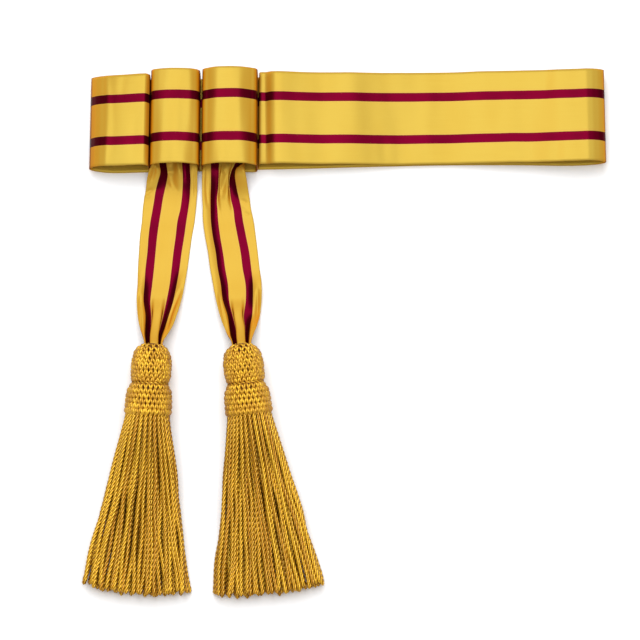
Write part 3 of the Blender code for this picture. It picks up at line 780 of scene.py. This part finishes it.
cord = {
    "gold": photoColor(235, 181, 38),
    "goldDeep": photoColor(194, 133, 14),
    "goldPale": photoColor(255, 222, 100),
    # painted shade in the grooves between the plies
    "grooveShade": (0.26, 0.13, 0.03, 1.0),
    # painted shade on the sides of each cord
    "sideShade": (0.40, 0.23, 0.08, 1.0),
    "roughness": 0.26,
    "metallic": 0.42,
    "fibres": 4,
    "fibreTwist": 1400,
    "fuzzScale": 1800,
    "patchScale": 60,
    "deepFrom": (0.25, 0.80),
    "paleShare": 0.6,
    "grooveShadeDepth": 0.92,
    "grooveShadeFrom": (0.08, 0.72),
    "sideShadeFrom": (0.22, 0.80),
    # painted shade between the stitches: the colour of the dark core
    "core": photoColor(78, 38, 0),
    "corePale": photoColor(112, 62, 2),
    "coreScale": 900,
}


def cordFinish(name):
    # silky yarn: fine fibres run along each ply, each cord a little paler or deeper
    made, bench = newFinish(name)
    section = bench.painted("section", "Vector")
    angle = bench.maths("ARCTAN2", bench.split(section, 1), bench.split(section))
    lines = bench.maths("SINE", angle * cord["fibres"] + bench.painted("run") * cord["fibreTwist"])
    place = bench.node("ShaderNodeTexCoord", None, None, "Object")
    fuzz = bench.noise(place, cord["fuzzScale"])
    patches = bench.noise(place, cord["patchScale"])
    deep = bench.step(bench.painted("tone") * 0.6 + patches * 0.4, *cord["deepFrom"])
    color = bench.mix(deep, cord["goldDeep"], cord["gold"])
    color = bench.mix((lines * 0.5 + 0.5) * fuzz * cord["paleShare"], color, cord["goldPale"])
    # painted shade: the grooves between the plies are darkened
    grooveShade = (1 - bench.step(bench.painted("crest"), *cord["grooveShadeFrom"])) * cord["grooveShadeDepth"]
    color = bench.mix(grooveShade, color, cord["grooveShade"], "MULTIPLY")
    # painted shade: the sides of each cord, seen side on, are darkened to brown
    sideShade = bench.step(bench.facing(), *cord["sideShadeFrom"])
    color = bench.mix(sideShade, color, cord["sideShade"], "MULTIPLY")
    bump = bench.bump(lines * 0.06 + fuzz * 0.06, 0.7)
    roughness = cord["roughness"] + fuzz * 0.16
    fixed = {"Metallic": cord["metallic"], "Specular IOR Level": 0.3}
    finishWith(bench, color, roughness, bump, fixed)
    return made


# painted shade: the core is plain dark brown to stand for the shade between the stitches
def coreFinish(name):
    made, bench = newFinish(name)
    place = bench.node("ShaderNodeTexCoord", None, None, "Object")
    grain = bench.noise(place, cord["coreScale"])
    color = bench.mix(grain, cord["core"], cord["corePale"])
    finishWith(bench, color, 0.8 + grain * 0.1, None, {"Metallic": 0.0})
    return made


# Tassels

tassels = {
    "axisHeight": 0.0186,
    "skirtLength": 0.1555,
    "twistLength": 0.0176,
    "cordSpacing": 0.0037,
    "floorGap": 0.0003,
    # cords leave the collar in rings: how many, ring radius
    "rings": ((1, 0.0), (8, 0.0058), (22, 0.0116), (30, 0.0170)),
    "layers": (18, 19, 24),     # and come to lie in layers, the lowest first
    "layerShrink": 0.030,
    "skirtThickness": 0.0135,
    "flattening": 1.1,
    "lyingFrom": 0.33,
    "pathPoints": 14,
    "rootDepth": 0.003,
    "settlingSteps": 80,
    "settlingShare": 0.6,
    # a core under the stitches, dark brown as painted shade
    "coreInset": 0.0030,
    "coreRings": 20,
    "coreSteps": 48,
    "coreLeast": 0.002,
    "coreLowest": 0.0012,
    # by chance: how much a cord's length differs, and its twist length as a share
    "lengthChance": 0.0018,
    "twistChance": (0.90, 1.12),
}
# crocheted heads: where each begins, stitches in its widest row, radius along it, and its rows
# of stitches from the tail down as place and yarn size
heads = {
    "knob": {
        "from": 0.0, "perRow": 27, "unevenness": 0.26,
        "profile": [
            (0.0000, 0.0075), (0.0028, 0.0118), (0.0063, 0.0150), (0.0099, 0.0164),
            (0.0150, 0.0174), (0.0230, 0.0177), (0.0300, 0.0171), (0.0354, 0.0158),
        ],
        "rows": [
            (0.0014, 0.90), (0.0044, 1.05), (0.0076, 1.12), (0.0107, 1.14), (0.0147, 1.16),
            (0.0178, 1.14), (0.0209, 1.16), (0.0250, 1.16), (0.0281, 1.14), (0.0315, 1.10),
        ],
        "rope": 0.0347,
    },
    "collar": {
        "from": 0.0357, "perRow": 34, "unevenness": 0.16,
        "profile": [
            (0.0000, 0.0160), (0.0030, 0.0178), (0.0065, 0.0195), (0.0110, 0.0201),
            (0.0180, 0.0204), (0.0273, 0.0205),
        ],
        "rows": [
            (0.0018, 1.04), (0.0060, 1.12), (0.0104, 1.16), (0.0149, 1.16), (0.0194, 1.18),
            (0.0238, 1.26),
        ],
    },
}
tasselSizes = {
    "Left": {
        "nodes": "tassel_left_", "x": -0.1698, "y": -0.2118, "lean": -3.3, "fan": 0.0480,
        "stray": 0.0, "seed": 3,
        # how much longer the cords are from the left edge of the fan to the right
        "hem": [
            (-1.0, -0.0053), (-0.66, -0.0016), (0.0, 0.0), (0.6, -0.0005), (0.9, -0.0020),
            (1.0, -0.0046),
        ],
    },
    "Right": {
        "nodes": "tassel_right_", "x": -0.0929, "y": -0.2118, "lean": 6.85, "fan": 0.0490,
        "stray": 0.0026, "seed": 8,
        "hem": [(-1.0, -0.0026), (-0.8, 0.0), (0.0, 0.0005), (0.3, 0.0018), (0.7, 0.0015), (1.0, 0.0)],
    },
}


def tasselFrame(size, along):
    lean = math.radians(size["lean"])
    onward = Vector((math.sin(lean), -math.cos(lean), 0.0))
    sideways = Vector((math.cos(lean), math.sin(lean), 0.0))
    place = Vector((size["x"], size["y"], tassels["axisHeight"])) + onward * along
    turn = Matrix((sideways, (0, 0, -1), -onward)).transposed()
    return Matrix.Translation(place) @ turn.to_4x4()


def turnedCore(profile):
    # points of a closed turned core in the tassel's frame: rings and two poles
    steps = tassels["coreSteps"]
    along = np.linspace(profile[0][0], profile[-1][0], tassels["coreRings"])
    radii = np.maximum(smoothReading(profile, along) - tassels["coreInset"], tassels["coreLeast"])
    angles = np.linspace(0, 2 * math.pi, steps, endpoint=False)
    points = [(0.0, 0.0, -along[0])]
    for s, r in zip(along, radii):
        points += [(r * math.cos(a), r * math.sin(a), -s) for a in angles]
    points.append((0.0, 0.0, -along[-1]))
    faces = []
    for ring in range(len(along) - 1):
        base = 1 + ring * steps
        for i in range(steps):
            j = (i + 1) % steps
            faces.append((base + i, base + steps + i, base + steps + j, base + j))
    last = 1 + (len(along) - 1) * steps
    for i in range(steps):
        j = (i + 1) % steps
        faces.append((0, 1 + i, 1 + j))
        faces.append((len(points) - 1, last + j, last + i))
    return points, faces


stitches = {
    "Yarn Radius": 0.0010,
    "Stitch Width": 0.0042,
    "Stitch Height": 0.0040,
    "Top Spread": 0.92,
    "Foot Spread": 0.10,
    "Arch": 0.0012,
    "Unevenness": 0.16,
}
# how the stitches sit: how deep in the head, how far aslant, and the shape of a leg in shares
worked = {
    "sunk": 0.0015,
    "slant": 0.22,
    "overhang": 0.0030,
    "lowest": 0.0027,
    "ringPoints": 150,
    "slopeReach": 0.0008,
    "legReach": 1.15,
    "legDip": 0.9,
    "legRise": 1.9,
    "legInward": 0.6,
    "legLow": 0.1,
    "sizeChance": 0.55,
}
# the two-ply cord laid round the foot of each knob
rope = {
    "Cord Radius": 0.0016,
    "Waist": 0.46,
    "Plies": 2.0,
    "Point Spacing": 0.0008,
    "Wander": 0.0,
    "Sag": 0.0,
    "End Length": 1e-6,
    "Sides": 8,
}


def stitchTree():
    tree, bench, entry = newTree("crochetStitches", stitches)
    halfWidth = entry.output("Stitch Width") * 0.5
    halfHeight = entry.output("Stitch Height") * 0.5
    arch = entry.output("Arch")
    uneven = entry.output("Unevenness")
    seed = entry.output("Seed")
    profile = bench.node("GeometryNodeCurvePrimitiveCircle", None,
                         {"Resolution": 6, "Radius": entry.output("Yarn Radius")})
    # a stitch is a V of two bowed legs
    legs = []
    for side in (-1, 1):
        topX = halfWidth * entry.output("Top Spread") * side
        footX = halfWidth * entry.output("Foot Spread") * side
        start = bench.combine(topX, halfHeight * worked["legReach"], arch * -worked["legDip"])
        middle = bench.combine((topX + footX) * worked["legInward"], halfHeight * -worked["legLow"],
                               arch * worked["legRise"])
        end = bench.combine(footX, halfHeight * -worked["legReach"], arch * -worked["legDip"])
        leg = bench.node("GeometryNodeCurveQuadraticBezier", None,
                         {"Resolution": 6, "Start": start, "Middle": middle, "End": end})
        legs.append(bench.node("GeometryNodeCurveToMesh", None,
                               {"Curve": leg, "Profile Curve": profile, "Fill Caps": True}))
    stitch = bench.node("GeometryNodeJoinGeometry", None, {0: legs})
    stitch = bench.node("GeometryNodeSetShadeSmooth", None, {0: stitch})
    stitch = bench.store(stitch, "crest", 1.0)
    # each is turned and sized a little by chance
    spread = bench.combine(uneven * 0.5, uneven * 0.5, uneven)
    negative = bench.vector("MULTIPLY", spread, (-1, -1, -1))
    wobble = bench.node("FunctionNodeRandomValue", {"data_type": "FLOAT_VECTOR"},
                        {"Min": negative, "Max": spread, "Seed": seed})
    jolt = bench.node("FunctionNodeEulerToRotation", None, {0: wobble})
    turned = bench.node("FunctionNodeRotateRotation", {"rotation_space": "LOCAL"},
                        {0: bench.named("turn", "QUATERNION"), 1: jolt})
    differs = uneven * worked["sizeChance"]
    size = bench.node("FunctionNodeRandomValue", {"data_type": "FLOAT"},
                      {2: 1 - differs, 3: 1 + differs, "Seed": seed + 3}, 1)
    placed = bench.node("GeometryNodeInstanceOnPoints", None,
                        {"Points": entry, "Instance": stitch, "Rotation": turned,
                         "Scale": size * bench.named("size")})
    tone = bench.node("FunctionNodeRandomValue", {"data_type": "FLOAT"},
                      {2: 0.0, 3: 1.0, "Seed": seed + 7}, 1)
    closeTree(bench, bench.store(placed, "tone", tone, domain="INSTANCE"))
    return tree


def profileAt(profile, along):
    # radius there and how fast it grows
    radius = float(smoothReading(profile, [along])[0])
    reach = worked["slopeReach"]
    near = smoothReading(profile, [along - reach, along + reach])
    return radius, float(near[1] - near[0]) / (2 * reach)


def slanted(profile, along, angle):
    # rows lie a little aslant, nearer the cords on top, so that they cross straight in the photo
    shift = worked["slant"] * math.sin(angle) * profileAt(profile, along)[0]
    return min(max(along - shift, 0.0), profile[-1][0] + worked["overhang"])


def rowFrames(profile, along, perRow, size, alongBefore, halfStep):
    # place, turn and width of each stitch of one worked row, in the sash's frame
    frameMatrix = tasselFrame(size, alongBefore)
    rowRadius = profileAt(profile, along)[0] - worked["sunk"]
    around = max(8, int(round(perRow * rowRadius / max(p[1] for p in profile))))
    places, turns = [], []
    for i in range(around):
        angle = 2 * math.pi * (i + 0.5 * halfStep) / around
        reached = slanted(profile, along, angle)
        radius, slope = profileAt(profile, reached)
        radius -= worked["sunk"]
        outward = Vector((math.cos(angle), math.sin(angle), 0.0))
        up = -Vector((outward.x * slope, outward.y * slope, -1.0)).normalized()
        sideways = Vector((-math.sin(angle), math.cos(angle), 0.0))
        normal = sideways.cross(up)
        local = Matrix((up.cross(normal), up, normal)).transposed()
        place = frameMatrix @ Vector((outward.x * radius, outward.y * radius, -reached))
        place.z = max(place.z, worked["lowest"])
        places.append(tuple(place))
        turns.append(tuple((frameMatrix.to_3x3() @ local).to_quaternion()))
    return places, turns, [2 * math.pi * rowRadius / around] * around


def ringPath(profile, along, perRow, size, alongBefore):
    # a closed path for the rope round the head, and how fast it twists
    frameMatrix = tasselFrame(size, alongBefore)
    points = []
    for angle in np.linspace(0, 2 * math.pi, worked["ringPoints"], endpoint=False):
        reached = slanted(profile, along, angle)
        radius = profileAt(profile, reached)[0] - rope["Cord Radius"] * 0.95
        place = frameMatrix @ Vector((radius * math.cos(angle), radius * math.sin(angle), -reached))
        place.z = max(place.z, rope["Cord Radius"] + tassels["floorGap"])
        points.append(place)
    length = sum((a - b).length for a, b in zip(points, points[1:] + points[:1]))
    turns = round(perRow * length / (2 * math.pi * max(p[1] for p in profile)) / 2)
    return [tuple(p) for p in points], 2 * math.pi * turns / length


def pointMesh(name, places, turns, sizes, unit):
    mesh = bpy.data.meshes.new(name)
    mesh.from_pydata(places, [], [])
    turn = mesh.attributes.new("turn", "QUATERNION", "POINT")
    turn.data.foreach_set("value", np.array(turns, np.float32).ravel())
    grown = mesh.attributes.new("size", "FLOAT", "POINT")
    grown.data.foreach_set("value", np.array(sizes, np.float32) / unit)
    return mesh


def plainMesh(name, points, faces, placed, finish):
    mesh = bpy.data.meshes.new(name)
    mesh.from_pydata([tuple(p) for p in points], [], faces)
    mesh.transform(placed)
    for vertex in mesh.vertices:
        vertex.co.z = max(vertex.co.z, tassels["coreLowest"])
    mesh.materials.append(finish)
    mesh.shade_smooth()
    return placeObject(name, mesh)


def joined(name, pieces):
    bpy.ops.object.select_all(action="DESELECT")
    for piece in pieces:
        piece.select_set(True)
    bpy.context.view_layer.objects.active = pieces[0]
    bpy.ops.object.join()
    pieces[0].name = name
    return pieces[0]


def makeWorked(name, head, size, trees, finishes):
    # a crocheted piece: a dark core with rows of stitches on it, and a rope if it has one
    profile, perRow = head["profile"], head["perRow"]
    unit = 2 * math.pi * max(p[1] for p in profile) / perRow
    pieces = []
    for number, (along, grown) in enumerate(head["rows"]):
        places, turns, widths = rowFrames(profile, along, perRow, size, head["from"], number % 2)
        mesh = pointMesh(name + "Row", places, turns, widths, unit)
        values = {"Yarn Radius": stitches["Yarn Radius"] * grown, "Stitch Width": unit,
                  "Unevenness": head["unevenness"], "Seed": size["seed"] + number,
                  "Finish": finishes["cord"]}
        pieces.append(grow(name + "Row", mesh, trees["stitches"], values))
    if "rope" in head:
        path, rate = ringPath(profile, head["rope"], perRow, size, head["from"])
        number = len(head["rows"])
        mesh = cordMesh(name + "Rope", [path], [rate], [number * 1.1], [0.6], closed=True)
        values = {**rope, "Seed": number, "Finish": finishes["cord"]}
        pieces.append(grow(name + "Rope", mesh, trees["cords"], values))
    pieces.append(plainMesh(name + "Core", *turnedCore(profile), tasselFrame(size, head["from"]),
                            finishes["core"]))
    return joined(name, pieces)


def cordRoots():
    # where the cords leave the collar, in rings
    roots = []
    for number, (count, radius) in enumerate(tassels["rings"]):
        for i in range(count):
            angle = 2 * math.pi * (i + 0.5 * (number % 2)) / count
            roots.append((radius * math.cos(angle), radius * math.sin(angle)))
    return roots


def cordEnds():
    # each root with its place across the fan and its height share at the hem
    roots = sorted(cordRoots(), key=lambda root: (round(root[1], 6), root[0]))
    paired, start = [], 0
    for layer, count in enumerate(tassels["layers"]):
        group = sorted(roots[start : start + count])
        start += count
        reach = 1.0 - tassels["layerShrink"] * layer
        for i, root in enumerate(group):
            across = reach * (2 * (i + 0.5) / count - 1)
            paired.append((root, across, (layer + 0.5) / len(tassels["layers"])))
    return paired


def settled(places, lowest):
    # pushes the cords of one cross-section apart until they lie clear of each other
    placed = np.array(places)
    own = np.eye(len(placed))
    for _ in range(tassels["settlingSteps"]):
        between = placed[:, None] - placed[None]
        distance = np.hypot(between[..., 0], between[..., 1]) + own
        short = np.clip(tassels["cordSpacing"] - distance, 0.0, None) * (1 - own)
        push = between / distance[..., None] * short[..., None] / 2
        placed += tassels["settlingShare"] * push.sum(axis=1)
        placed[:, 1] = np.maximum(placed[:, 1], lowest)
    return placed


def cordPaths(size):
    # a line for each cord from inside the collar to the hem: sideways, height, along
    head = heads["collar"]["profile"][-1][1]
    lowest = cords["Cord Radius"] + tassels["floorGap"]
    pairs = cordEnds()
    roots = np.array([root for root, _, _ in pairs])
    endX = np.array([across for _, across, _ in pairs]) * size["fan"]
    endShare = np.array([share for _, _, share in pairs])
    rootShare = (roots[:, 1] + head) / (2 * head)
    run = np.sqrt(tassels["skirtLength"] ** 2 - (endX - roots[:, 0]) ** 2)
    run += smoothReading(size["hem"], endX / size["fan"])
    rows = []
    for t in np.linspace(0.0, 1.0, tassels["pathPoints"]):
        spread = head + (size["fan"] - head) * t
        thick = max(2 * head * (head / spread) ** tassels["flattening"], tassels["skirtThickness"])
        x = roots[:, 0] + (endX - roots[:, 0]) * t
        lying = thick * (rootShare + (endShare - rootShare) * t)
        standing = tassels["axisHeight"] + roots[:, 1]
        height = standing + (lying - standing) * min(1.0, t / tassels["lyingFrom"])
        placed = settled(np.column_stack([x, np.maximum(height, lowest)]), lowest)
        rows.append(np.column_stack([placed, t * run]))
    rootRow = rows[0].copy()
    rootRow[:, 2] = -tassels["rootDepth"]
    paths = np.stack([rootRow] + rows, axis=1)
    leftmost = int(np.argmin(endX))
    paths[leftmost, 1:, 0] -= size["stray"] * np.linspace(0.0, 1.0, tassels["pathPoints"])
    return paths


cords = {
    "Cord Radius": 0.0020,
    "Waist": 0.62,
    "Plies": 4.0,
    "Point Spacing": 0.00165,
    "Wander": 0.0028,
    "Sag": 0.0009,
    "End Length": 0.0020,
    "Sides": 16,
}
# the noise that bends them, sideways and up, and where along a cord it sets in
cordBends = {
    "sideScale": 16.0,
    "upScale": 22.0,
    "from": (0.02, 0.60),
    "leastRounding": 0.02,
}


def cordTree():
    tree, bench, entry = newTree("twistedCords", cords)
    radius = entry.output("Cord Radius")
    line = bench.node("GeometryNodeMeshToCurve", None, {0: entry})
    line = bench.node("GeometryNodeCurveSplineType", {"spline_type": "CATMULL_ROM"}, {0: line})
    line = bench.node("GeometryNodeResampleCurve", {"mode": "LENGTH"},
                      {"Curve": line, "Length": entry.output("Point Spacing")})

    run = bench.node("GeometryNodeSplineParameter", None, None, "Length")
    whole = bench.node("GeometryNodeSplineLength", None, None, "Length")
    share = bench.node("GeometryNodeSplineParameter", None, None, "Factor")
    place = bench.node("GeometryNodeInputPosition")
    phase = bench.named("phase")
    chance = phase * 9.7 + entry.output("Seed") * 3.1
    sway = bench.node("ShaderNodeTexNoise", {"noise_dimensions": "4D"},
                      {"Vector": place, "W": chance, "Scale": cordBends["sideScale"],
                       "Detail": 1.5, "Roughness": 0.35})
    lean = bench.node("ShaderNodeTexNoise", {"noise_dimensions": "4D"},
                      {"Vector": place, "W": chance + 40.0, "Scale": cordBends["upScale"],
                       "Detail": 1.0})
    # the cords wander more and more from the collar on, but not into the floor
    freed = bench.step(share, *cordBends["from"])
    sideStep = (sway - 0.5) * 4 * entry.output("Wander") * freed
    upStep = (lean - 0.5) * 4 * entry.output("Sag") * freed
    line = bench.shift(line, bench.combine(sideStep, 0.0, upStep))
    lowest = radius + tassels["floorGap"]
    lifted = bench.maths("MAXIMUM", lowest - bench.split(place, 2), 0.0)
    line = bench.shift(line, bench.combine(0.0, 0.0, lifted))
    line = bench.node("GeometryNodeSetCurveTilt", None,
                      {"Curve": line, "Tilt": run * bench.named("rate") + phase})
    # the end is rounded off
    toEnd = bench.maths("MINIMUM", (whole - run) / entry.output("End Length"), 1.0)
    inward = 1 - toEnd
    rounding = bench.maths("SQRT", bench.maths("MAXIMUM", 1 - inward * inward,
                                              cordBends["leastRounding"]))
    line = bench.node("GeometryNodeSetCurveRadius", None, {"Curve": line, "Radius": rounding})
    line = bench.store(line, "run", run)

    # a section with a lobe for each ply, which the tilt winds along the cord
    ring = bench.node("GeometryNodeCurvePrimitiveCircle", None,
                      {"Resolution": entry.output("Sides"), "Radius": 1.0})
    ringAngle = bench.maths("ARCTAN2", bench.split(place, 1), bench.split(place))
    lobe = bench.maths("ABSOLUTE", bench.maths("COSINE", ringAngle * entry.output("Plies") / 2))
    waist = entry.output("Waist")
    ring = bench.store(ring, "section", place, "FLOAT_VECTOR")
    ring = bench.store(ring, "crest", lobe)
    reach = radius * (waist + (1 - waist) * lobe)
    shaped = bench.node("ShaderNodeVectorMath", {"operation": "SCALE"}, {0: place, "Scale": reach})
    ring = bench.node("GeometryNodeSetPosition", None, {"Geometry": ring, "Position": shaped})
    scale = bench.node("GeometryNodeInputRadius")
    solid = bench.node("GeometryNodeCurveToMesh", None,
                       {"Curve": line, "Profile Curve": ring, "Scale": scale, "Fill Caps": True})
    solid = bench.node("GeometryNodeSetShadeSmooth", None, {0: solid})
    closeTree(bench, solid)
    return tree


def cordMesh(name, paths, rates, phases, tones, closed):
    # lines for the cord tree, each with its twist, its start and its tone
    points, edges = [], []
    for path in paths:
        start = len(points)
        points += [tuple(point) for point in path]
        edges += [(i, i + 1) for i in range(start, len(points) - 1)]
        if closed:
            edges.append((len(points) - 1, start))
    mesh = bpy.data.meshes.new(name + "Paths")
    mesh.from_pydata(points, edges, [])
    for label, values in (("rate", rates), ("phase", phases), ("tone", tones)):
        layer = mesh.attributes.new(label, "FLOAT", "POINT")
        spread = np.repeat(np.array(values, np.float32), [len(path) for path in paths])
        layer.data.foreach_set("value", spread)
    return mesh


def makeCords(name, size, tree, finish):
    placed = tasselFrame(size, sum(head["profile"][-1][0] for head in heads.values()))
    chance = np.random.default_rng(size["seed"])
    shift = tassels["lengthChance"]
    paths, rates, phases, tones = [], [], [], []
    for path in cordPaths(size):
        path[:, 2] *= 1 + chance.uniform(-shift, shift) / tassels["skirtLength"]
        paths.append([placed @ Vector((x, tassels["axisHeight"] - height, -along))
                      for x, height, along in path])
        rates.append(2 * math.pi / (tassels["twistLength"] * chance.uniform(*tassels["twistChance"])))
        phases.append(chance.uniform(0, 2 * math.pi))
        tones.append(chance.uniform(0, 1))
    mesh = cordMesh(name, paths, rates, phases, tones, closed=False)
    return grow(name, mesh, tree, {"Seed": size["seed"], "Finish": finish})


def makeTassels():
    finishes = {"cord": cordFinish("goldCord"), "core": coreFinish("cordShade")}
    trees = {"stitches": stitchTree(), "cords": cordTree()}
    for side, size in tasselSizes.items():
        knob = makeWorked("knob" + side, heads["knob"], size, trees, finishes)
        settlePiece(knob, [size["nodes"] + "knob"])
        collar = makeWorked("collar" + side, heads["collar"], size, trees, finishes)
        settlePiece(collar, [size["nodes"] + "skirt"])
        skirt = makeCords("cords" + side, size, trees["cords"], finishes["cord"])
        settlePiece(skirt, [size["nodes"] + "skirt"])
        for piece in (knob, collar, skirt):
            triangles = sum(len(p.vertices) - 2 for p in piece.data.polygons)
            print(piece.name, "made,", triangles, "triangles")


# Floor, light and camera

studio = {
    "aim": (-0.02421, -0.18467, 0.0),
    "distance": 2.5,
    "tilt": 15.0,
    "seenWidth": 0.5632,
    "floorSize": 9.0,
    "floor": photoColor(249, 249, 249),
    "floorPale": photoColor(252, 252, 252),
    "sky": 0.51,
    "skyColor": (1.0, 0.93, 0.82, 1.0),
    "keyColor": (0.95, 1.0, 1.08),
    "keyPower": 50.0,
    "keySize": (1.7, 2.9),
    "keyPlace": (-0.15, 0.3, 1.9),
}


def makeFloor():
    made, bench = newFinish("paperFloor")
    place = bench.node("ShaderNodeTexCoord", None, None, "Object")
    grain = bench.noise(place, scale=6.0)
    color = bench.mix(grain, studio["floor"], studio["floorPale"])
    finishWith(bench, color, 0.85, None, {"Specular IOR Level": 0.2})
    half = studio["floorSize"] / 2
    mesh = bpy.data.meshes.new("floor")
    mesh.from_pydata([(-half, -half, 0), (half, -half, 0), (half, half, 0), (-half, half, 0)], [],
                     [(0, 1, 2, 3)])
    mesh.materials.append(made)
    placeObject("floor", mesh)


def makeLight():
    world = bpy.data.worlds.new("studioSky")
    bpy.context.scene.world = world
    world.use_nodes = True
    ground = world.node_tree.nodes["Background"]
    ground.inputs["Color"].default_value = studio["skyColor"]
    ground.inputs["Strength"].default_value = studio["sky"]
    data = bpy.data.lights.new("softbox", "AREA")
    data.shape = "RECTANGLE"
    data.size, data.size_y = studio["keySize"]
    data.energy = studio["keyPower"]
    data.color = studio["keyColor"]
    softbox = placeObject("softbox", data)
    softbox.location = studio["keyPlace"]
    towards = Vector(studio["aim"]) - Vector(studio["keyPlace"])
    softbox.rotation_euler = towards.to_track_quat("-Z", "Y").to_euler()


def makeCamera():
    data = bpy.data.cameras.new("camera")
    data.sensor_width = 36.0
    data.lens = data.sensor_width * studio["distance"] / studio["seenWidth"]
    data.clip_start, data.clip_end = 0.05, 20.0
    tilt = math.radians(studio["tilt"])
    camera = placeObject("camera", data)
    back = Vector((0.0, -math.sin(tilt), math.cos(tilt)))
    camera.location = Vector(studio["aim"]) + back * studio["distance"]
    camera.rotation_euler = (tilt, 0.0, 0.0)
    bpy.context.scene.camera = camera


bpy.context.scene.view_settings.view_transform = "Standard"
makeCamera()
makeLight()
makeFloor()
makeBand()
for loopName, loopSize in loopSizes.items():
    makeLoop(loopName, loopSize)
for tailName, tailSize in tailSizes.items():
    makeTail(tailName, tailSize)
makeTassels()
